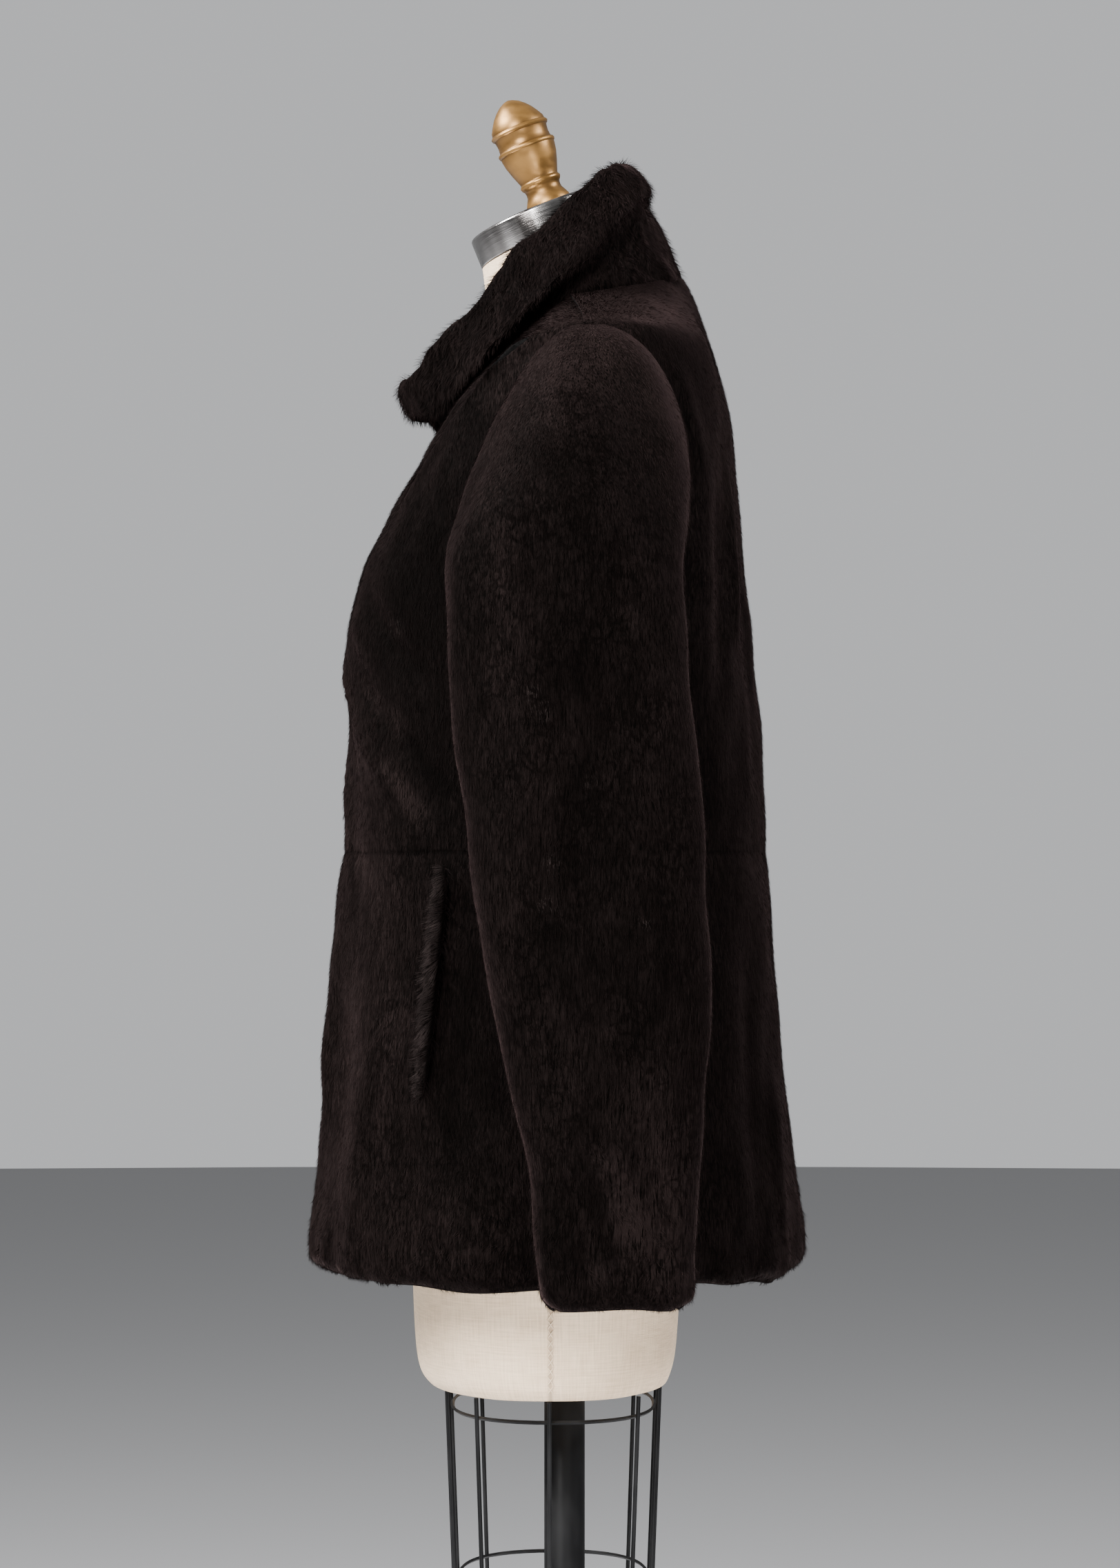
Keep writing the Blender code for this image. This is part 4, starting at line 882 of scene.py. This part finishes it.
def crease_relief(table, angle_deg, z, radius):
    """Height of the creases at places given by angle, height and distance from the middle line."""
    total = np.zeros_like(z)
    for top_deg, top_z, low_deg, low_z, half_width, height in table:
        share = (top_z - z) / (top_z - low_z)
        inside = (share > 0) & (share < 1)
        middle = top_deg + (low_deg - top_deg) * share
        off = (angle_deg - middle + 180) % 360 - 180
        across = np.radians(off) * radius / half_width
        fade = np.sin(math.pi * np.clip(share, 0, 1)) ** 0.7
        total += np.where(inside, height * fade * np.exp(-across * across), 0.0)
    return total


def soft_field(points, size, seed, waves=7):
    """A soft uneven field of about -1 to 1, from crossing waves of about that size in metres."""
    rng = np.random.default_rng(seed)
    total = np.zeros(len(points))
    for _ in range(waves):
        direction = rng.normal(size=3)
        direction /= np.linalg.norm(direction)
        length = size * rng.uniform(0.7, 1.5)
        total += np.sin(points @ direction * (2 * math.pi / length) + rng.uniform(0, 2 * math.pi))
    return total / math.sqrt(waves)


def uneven(points, what):
    """The soft unevenness of that name at places on the jacket."""
    return sum(
        amount * soft_field(points * (1.0, 1.0, squeeze), size, seed)
        for amount, size, squeeze, seed in UNEVEN[what]
    )


def crease_pelt(piece, side):
    """Sets the skin under the pile and gives the wall its finer creases and unevenness."""
    points, tris, cross = mesh_arrays(piece)
    normals = fur_side_normals(points, tris, cross)
    middle_x, middle_y = sleeve_middle(points[:, 2], side) if side else (0.0, BODY_MIDDLE_Y)
    away = np.stack((points[:, 0] - middle_x, points[:, 1] - middle_y), axis=1)
    if side:
        angle = np.degrees(np.arctan2(-away[:, 1], -side * away[:, 0])) % 360
        table, edge_z = SLEEVE_CREASES, CUFF_Z
    else:
        angle = np.degrees(np.arctan2(away[:, 0], -away[:, 1]))
        table, edge_z = BODY_CREASES, HEM_Z
    radius = np.linalg.norm(away, axis=1)
    near_edge = np.exp(-((points[:, 2] - edge_z) / RUMPLED_REACH) ** 2)
    relief = CREASE_GAIN * crease_relief(table, angle, points[:, 2], radius)
    relief += uneven(points, "skin") + near_edge * uneven(points, "skin near the edge")
    outward = away / np.maximum(radius, 1e-6)[:, None]
    points[:, :2] += outward * relief[:, None]
    points[:, 2] += near_edge * uneven(points, "line of the edge")
    at_waist = np.abs(points[:, 2] - WAIST_Z) < WAIST_REACH
    normals[at_waist, 2] = 0.0  # so that the panels above and below the seam stay together
    points -= normals * PELT_INSET
    put_points(piece, points)


def soften_collar(piece):
    """Sets the collar's skin under its pile and makes its rounded edges a little uneven."""
    points, tris, cross = mesh_arrays(piece)
    normals = fur_side_normals(points, tris, cross)
    inset = PELT_INSET * 1.2  # as its pile is longer
    put_points(piece, points + normals * (uneven(points, "collar") - inset)[:, None])


# ---------------------------------------------------------------- the pile
def comb(normals, towards, swirl):
    """Which way the hairs lie: towards a direction along the skin, wandering a little."""
    lay = towards - normals * np.sum(towards * normals, axis=1, keepdims=True)
    lay /= np.maximum(np.linalg.norm(lay, axis=1, keepdims=True), 1e-6)
    sideways = np.cross(normals, lay)
    turn = swirl[:, None]
    return lay * np.cos(turn) + sideways * np.sin(turn)


def scatter_roots(pelt, density, rng):
    """Places all over the fur side of a pelt, and the way its surface faces at each."""
    points, tris, cross = mesh_arrays(pelt)
    normals = fur_side_normals(points, tris, cross)
    areas = np.linalg.norm(cross, axis=1) / 2
    count = int(areas.sum() * HAIRS_PER_M2 * density * (1.0))
    chosen = rng.choice(len(tris), size=count, p=areas / areas.sum())
    a, b = rng.random(count), rng.random(count)
    over = a + b > 1
    a[over], b[over] = 1 - a[over], 1 - b[over]
    shares = np.stack((1 - a - b, a, b), axis=1)[:, :, None]
    corners = tris[chosen]
    root = (points[corners] * shares).sum(axis=1)
    up = (normals[corners] * shares).sum(axis=1)
    return root, up / np.linalg.norm(up, axis=1, keepdims=True)


def lay_hairs(root, up, kind, rng):
    """Each hair's half width at its root, and its reach from root to tip, combed down and leaning."""
    pile, count = PILES[kind], len(root)
    outward = root * (1.0, 1.0, 0.0)
    outward /= np.maximum(np.linalg.norm(outward, axis=1, keepdims=True), 1e-6)
    down = np.array((0.0, -pile.forward, -1.0)) + COMBED_OUT * outward
    wavy = np.maximum(pile.waves, np.exp(-((root[:, 2] - CUFF_Z - WAVY_MIDDLE) / WAVY_REACH) ** 2))
    swirl = uneven(root, "lay") + wavy * uneven(root, "wavy lay")
    lay = comb(up, down, swirl + rng.normal(0, LAY_SPREAD, count))
    tilt = math.radians(pile.lean_deg) * (1 + uneven(root, "lean")) + wavy * uneven(root, "wavy lean")
    tilt = np.clip(tilt + rng.normal(0, LEAN_SPREAD, count), *LEAN_LIMITS)
    length = pile.length * (1 + uneven(root, "length")) * rng.uniform(*LENGTH_SHARES, count)
    reach = lay * (np.cos(tilt) * length)[:, None] + up * (np.sin(tilt) * length)[:, None]
    roll = rng.normal(0, ROLL_SPREAD, count)[:, None]
    across = np.cross(up, lay) * np.cos(roll) + up * np.sin(roll)
    return across * (pile.width / 2 * rng.uniform(*WIDTH_SHARES, count))[:, None], reach


def grow_pile(name, pelt, seed, finish, kind):
    """Short flat hairs, one triangle each, rooted all over the fur side of a pelt and combed down."""
    rng = np.random.default_rng(seed)
    root, up = scatter_roots(pelt, PILES[kind].density, rng)
    half, reach = lay_hairs(root, up, kind, rng)
    count = len(root)
    sunk = root - up * ROOT_DEPTH
    verts = np.stack((sunk - half, sunk + half, sunk + reach), axis=1).reshape(-1, 3)
    order = np.arange(3 * count).reshape(-1, 3)
    flipped = np.sum(np.cross(half, reach) * up, axis=1) < 0
    order[flipped] = order[flipped][:, [1, 0, 2]]

    mesh = bpy.data.meshes.new(name)
    mesh.vertices.add(3 * count)
    mesh.vertices.foreach_set("co", verts.ravel())
    mesh.loops.add(3 * count)
    mesh.polygons.add(count)
    mesh.loops.foreach_set("vertex_index", order.ravel())
    mesh.polygons.foreach_set("loop_start", np.arange(count) * 3)
    own = np.repeat(rng.random(count), 3)
    along = np.tile((0.0, 0.0, 1.0), count)
    strand = mesh.uv_layers.new(name="strand")
    strand.data.foreach_set("uv", np.stack((own, along), axis=1).ravel())
    mesh.update(calc_edges=True)
    mesh.materials.append(finish)
    pile = bpy.data.objects.new(name, mesh)
    bpy.context.scene.collection.objects.link(pile)
    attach(pile, "root")
    return pile


# ---------------------------------------------------------------- the jacket
def make_jacket(nap):
    inside = suede_finish("pelt_inside", SUEDE, SUEDE_LIGHT)
    # The seams' edges take a near-black painted shadow.
    seam = suede_finish("seam_painted_shadow", SEAM_SHADOW_DARK, SEAM_SHADOW_LIGHT)
    finishes = {
        kind: (hair_finish(nap, kind), skin_finish(nap, kind)) for kind in ("body", "sleeve", "collar")
    }
    cuts = [(node, *cut) for nodes, *cut in CUTS for node in nodes]
    for seed, (node, width, long, area) in enumerate(cuts, start=100):
        side = 0 if "sleeve" not in node else 1 if node.startswith("left") else -1
        kind = "collar" if node == "collar" else "sleeve" if side else "body"
        hair, skin = finishes[kind]
        pelt = welded_copy(node, f"{node}_pelt")
        for finish in (skin, inside, seam):
            pelt.data.materials.append(finish)
        outward = from_sleeve_axis(side) if side else from_body_axis
        part_sides(pelt, outward, fold_over=node == "collar")
        apply_subdivision(pelt, 2)
        if node == "collar":
            soften_collar(pelt)
        else:
            crease_pelt(pelt, side)
        pile = grow_pile(f"{node}_pile", pelt, seed, hair, kind)
        settle(pelt, node, 60)


def make_pocket_lips(nap):
    hair, skin = hair_finish(nap, "pocket"), skin_finish(nap, "pocket")
    for name in ("left", "right"):
        node = f"{name}_pocket_edge"
        lip = welded_copy(node, f"{name}_pocket_lip")
        lip.data.materials.append(skin)
        apply_subdivision(lip, 2)
        pile = grow_pile(f"{name}_pocket_pile", lip, 300, hair, "pocket")
        settle(lip, node)
        pile.parent = lip


# ---------------------------------------------------------------- the dress form
def make_form(linen):
    cover = welded_copy("form_torso", "form_cover")
    cover.data.materials.append(linen)
    mark_rims(cover, 50)
    apply_subdivision(cover, 3)
    settle(cover, "form_torso", 50)
    return cover


def spun(name, profile, steps, finish, node, turn=None, sharp_deg=35):
    """A turned piece from (height, radius) pairs, closed at both ends on its axis, placed by a matrix."""
    bpy.ops.mesh.primitive_plane_add(size=0.001)
    piece = bpy.context.object
    piece.name = piece.data.name = name
    bpy.ops.object.mode_set(mode="EDIT")
    bpy.ops.mesh.merge(type="CENTER")
    places = [(0.0, profile[0][0]), *((radius, height) for height, radius in profile), (0.0, profile[-1][0])]
    bpy.ops.transform.translate(value=(0.0, 0.0, places[0][1]))
    for (before_r, before_z), (radius, height) in zip(places, places[1:]):
        bpy.ops.mesh.extrude_region_move(
            TRANSFORM_OT_translate={"value": (radius - before_r, 0.0, height - before_z)}
        )
    bpy.ops.mesh.select_all(action="SELECT")
    bpy.ops.mesh.spin(steps=steps, angle=2 * math.pi, center=(0, 0, 0), axis=(0, 0, 1))
    bpy.ops.mesh.select_all(action="SELECT")
    bpy.ops.mesh.remove_doubles(threshold=0.00001)
    bpy.ops.mesh.normals_make_consistent(inside=False)
    bpy.ops.object.mode_set(mode="OBJECT")
    if turn is not None:
        piece.data.transform(turn)
    piece.data.materials.append(finish)
    settle(piece, node, sharp_deg)
    return piece


def neck_matrix(height, back=0.0):
    """Places a piece made on the Z axis on the slanted top of the neck."""
    tilt = Matrix.Rotation(LEAN, 4, "X")
    up = tilt @ Vector((0, 0, 1))
    backwards = tilt @ Vector((0, 1, 0))
    return Matrix.Translation(NECK_TOP_CENTRE + up * height + backwards * back) @ tilt


def quarter_turn(steps):
    """Angles from 0 to a right angle, for a rounded edge."""
    return [math.pi / 2 * k / steps for k in range(steps + 1)]


def make_neck_cap(steel):
    """The cap, turned with a radius of 1 and then drawn out to its oval."""
    low, top = CAP_LOW_ROUND / CAP_HALF_WIDTH, CAP_TOP_ROUND / CAP_HALF_WIDTH
    profile = [(0.0, 1.0 - CAP_UNDERCUT)]
    profile += [(CAP_LOW_ROUND * (1 - math.cos(a)), 1.0 - low * (1 - math.sin(a))) for a in quarter_turn(4)]
    profile += [
        (CAP_HEIGHT - CAP_TOP_ROUND * (1 - math.sin(a)), 1.0 - top * (1 - math.cos(a)))
        for a in quarter_turn(6)
    ]
    oval = Matrix.Diagonal((CAP_HALF_WIDTH, CAP_HALF_DEPTH, 1.0, 1.0))
    spun("neck_cap_steel", profile, 96, steel, "neck_cap", neck_matrix(SEAM_GAP) @ oval)


def make_finial(gilt):
    place = neck_matrix(CAP_HEIGHT + 2 * SEAM_GAP, FINIAL_SET_BACK)
    spun("finial_gilt", FINIAL, 72, gilt, "finial", place, 50)


def make_stand(black):
    plate = [(height, BASE_RADIUS - inwards) for height, inwards in BASE_LOW_EDGE]
    plate += [
        (BASE_HEIGHT - BASE_ROUND * (1 - math.sin(a)), BASE_RADIUS - BASE_ROUND * (1 - math.cos(a)))
        for a in quarter_turn(6)
    ]
    spun("base_plate_enamel", plate, 128, black, "base_plate")
    foot = BASE_HEIGHT + SEAM_GAP
    hub = [(foot + height, radius) for height, radius in HUB]
    spun("base_hub_enamel", hub, 64, black, "base_hub")
    low, top = foot + HUB_HEIGHT + SEAM_GAP, FORM_BOTTOM_Z - SEAM_GAP
    pole = [
        (low, POLE_END_RADIUS), (low + POLE_BEVEL, POLE_RADIUS),
        (top - POLE_BEVEL, POLE_RADIUS), (top, POLE_END_RADIUS),
    ]
    spun("pole_enamel", pole, 64, black, "pole")
    for node in sorted(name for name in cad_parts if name.startswith("cage_")):
        piece = welded_copy(node, f"{node}_enamel")
        piece.data.materials.append(black)
        mark_rims(piece, 70)
        apply_subdivision(piece, 1)
        settle(piece, node, 60)


def make_form_seams(cover, thread):
    """Cross-stitched seams down the form's sides, below the jacket's hem."""
    foot_z = FORM_BOTTOM_Z + STITCH_FOOT
    rows = int((STITCH_TOP_Z - FORM_BOTTOM_Z - STITCH_FOOT) / STITCH_PITCH)
    for name, side in (("left", 1), ("right", -1)):
        bm = bmesh.new()
        for k, lean in ((k, lean) for k in range(rows) for lean in (1, -1)):
            ends, sideways = [], lean * STITCH_HALF_WIDTH
            for rise, off in ((0.0, -sideways), (STITCH_PITCH, sideways)):
                inside = Vector((0.0, SIDE_SEAM_Y + off, foot_z + k * STITCH_PITCH + rise))
                _, spot, normal, _ = cover.ray_cast(inside, Vector((side, 0.0, 0.0)))
                ends.append(spot + normal * THREAD_RADIUS * 0.7)
            stitch(bm, *ends, normal, THREAD_RADIUS)
        mesh = bpy.data.meshes.new(f"form_seam_{name}")
        bm.to_mesh(mesh)
        bm.free()
        seam = bpy.data.objects.new(mesh.name, mesh)
        bpy.context.scene.collection.objects.link(seam)
        mesh.materials.append(thread)
        settle(seam, None, 60)


def stitch(bm, start, end, normal, radius):
    """One bowed thread of six sides between two points."""
    along = (end - start).normalized()
    across = normal.cross(along).normalized()
    rings = []
    for share, rise, swell in ((0.0, 0.0, 0.5), (0.25, 0.7, 1.0), (0.75, 0.7, 1.0), (1.0, 0.0, 0.5)):
        middle = start.lerp(end, share) + normal * radius * rise
        ring = []
        for k in range(6):
            a = 2 * math.pi * k / 6
            ring.append(bm.verts.new(middle + (across * math.cos(a) + normal * math.sin(a)) * radius * swell))
        rings.append(ring)
    for low, high in zip(rings, rings[1:]):
        for k in range(6):
            j = (k + 1) % 6
            bm.faces.new((low[j], low[k], high[k], high[j]))
    bm.faces.new(rings[0])
    bm.faces.new(list(reversed(rings[-1])))


def main():
    add_camera()
    add_studio()
    nap = nap_group()
    linen, black = linen_finish(), enamel_finish()
    cover = make_form(linen)
    make_form_seams(cover, thread_finish())
    make_neck_cap(steel_finish())
    make_finial(gilt_finish())
    make_stand(black)
    make_jacket(nap)
    make_pocket_lips(nap)


main()
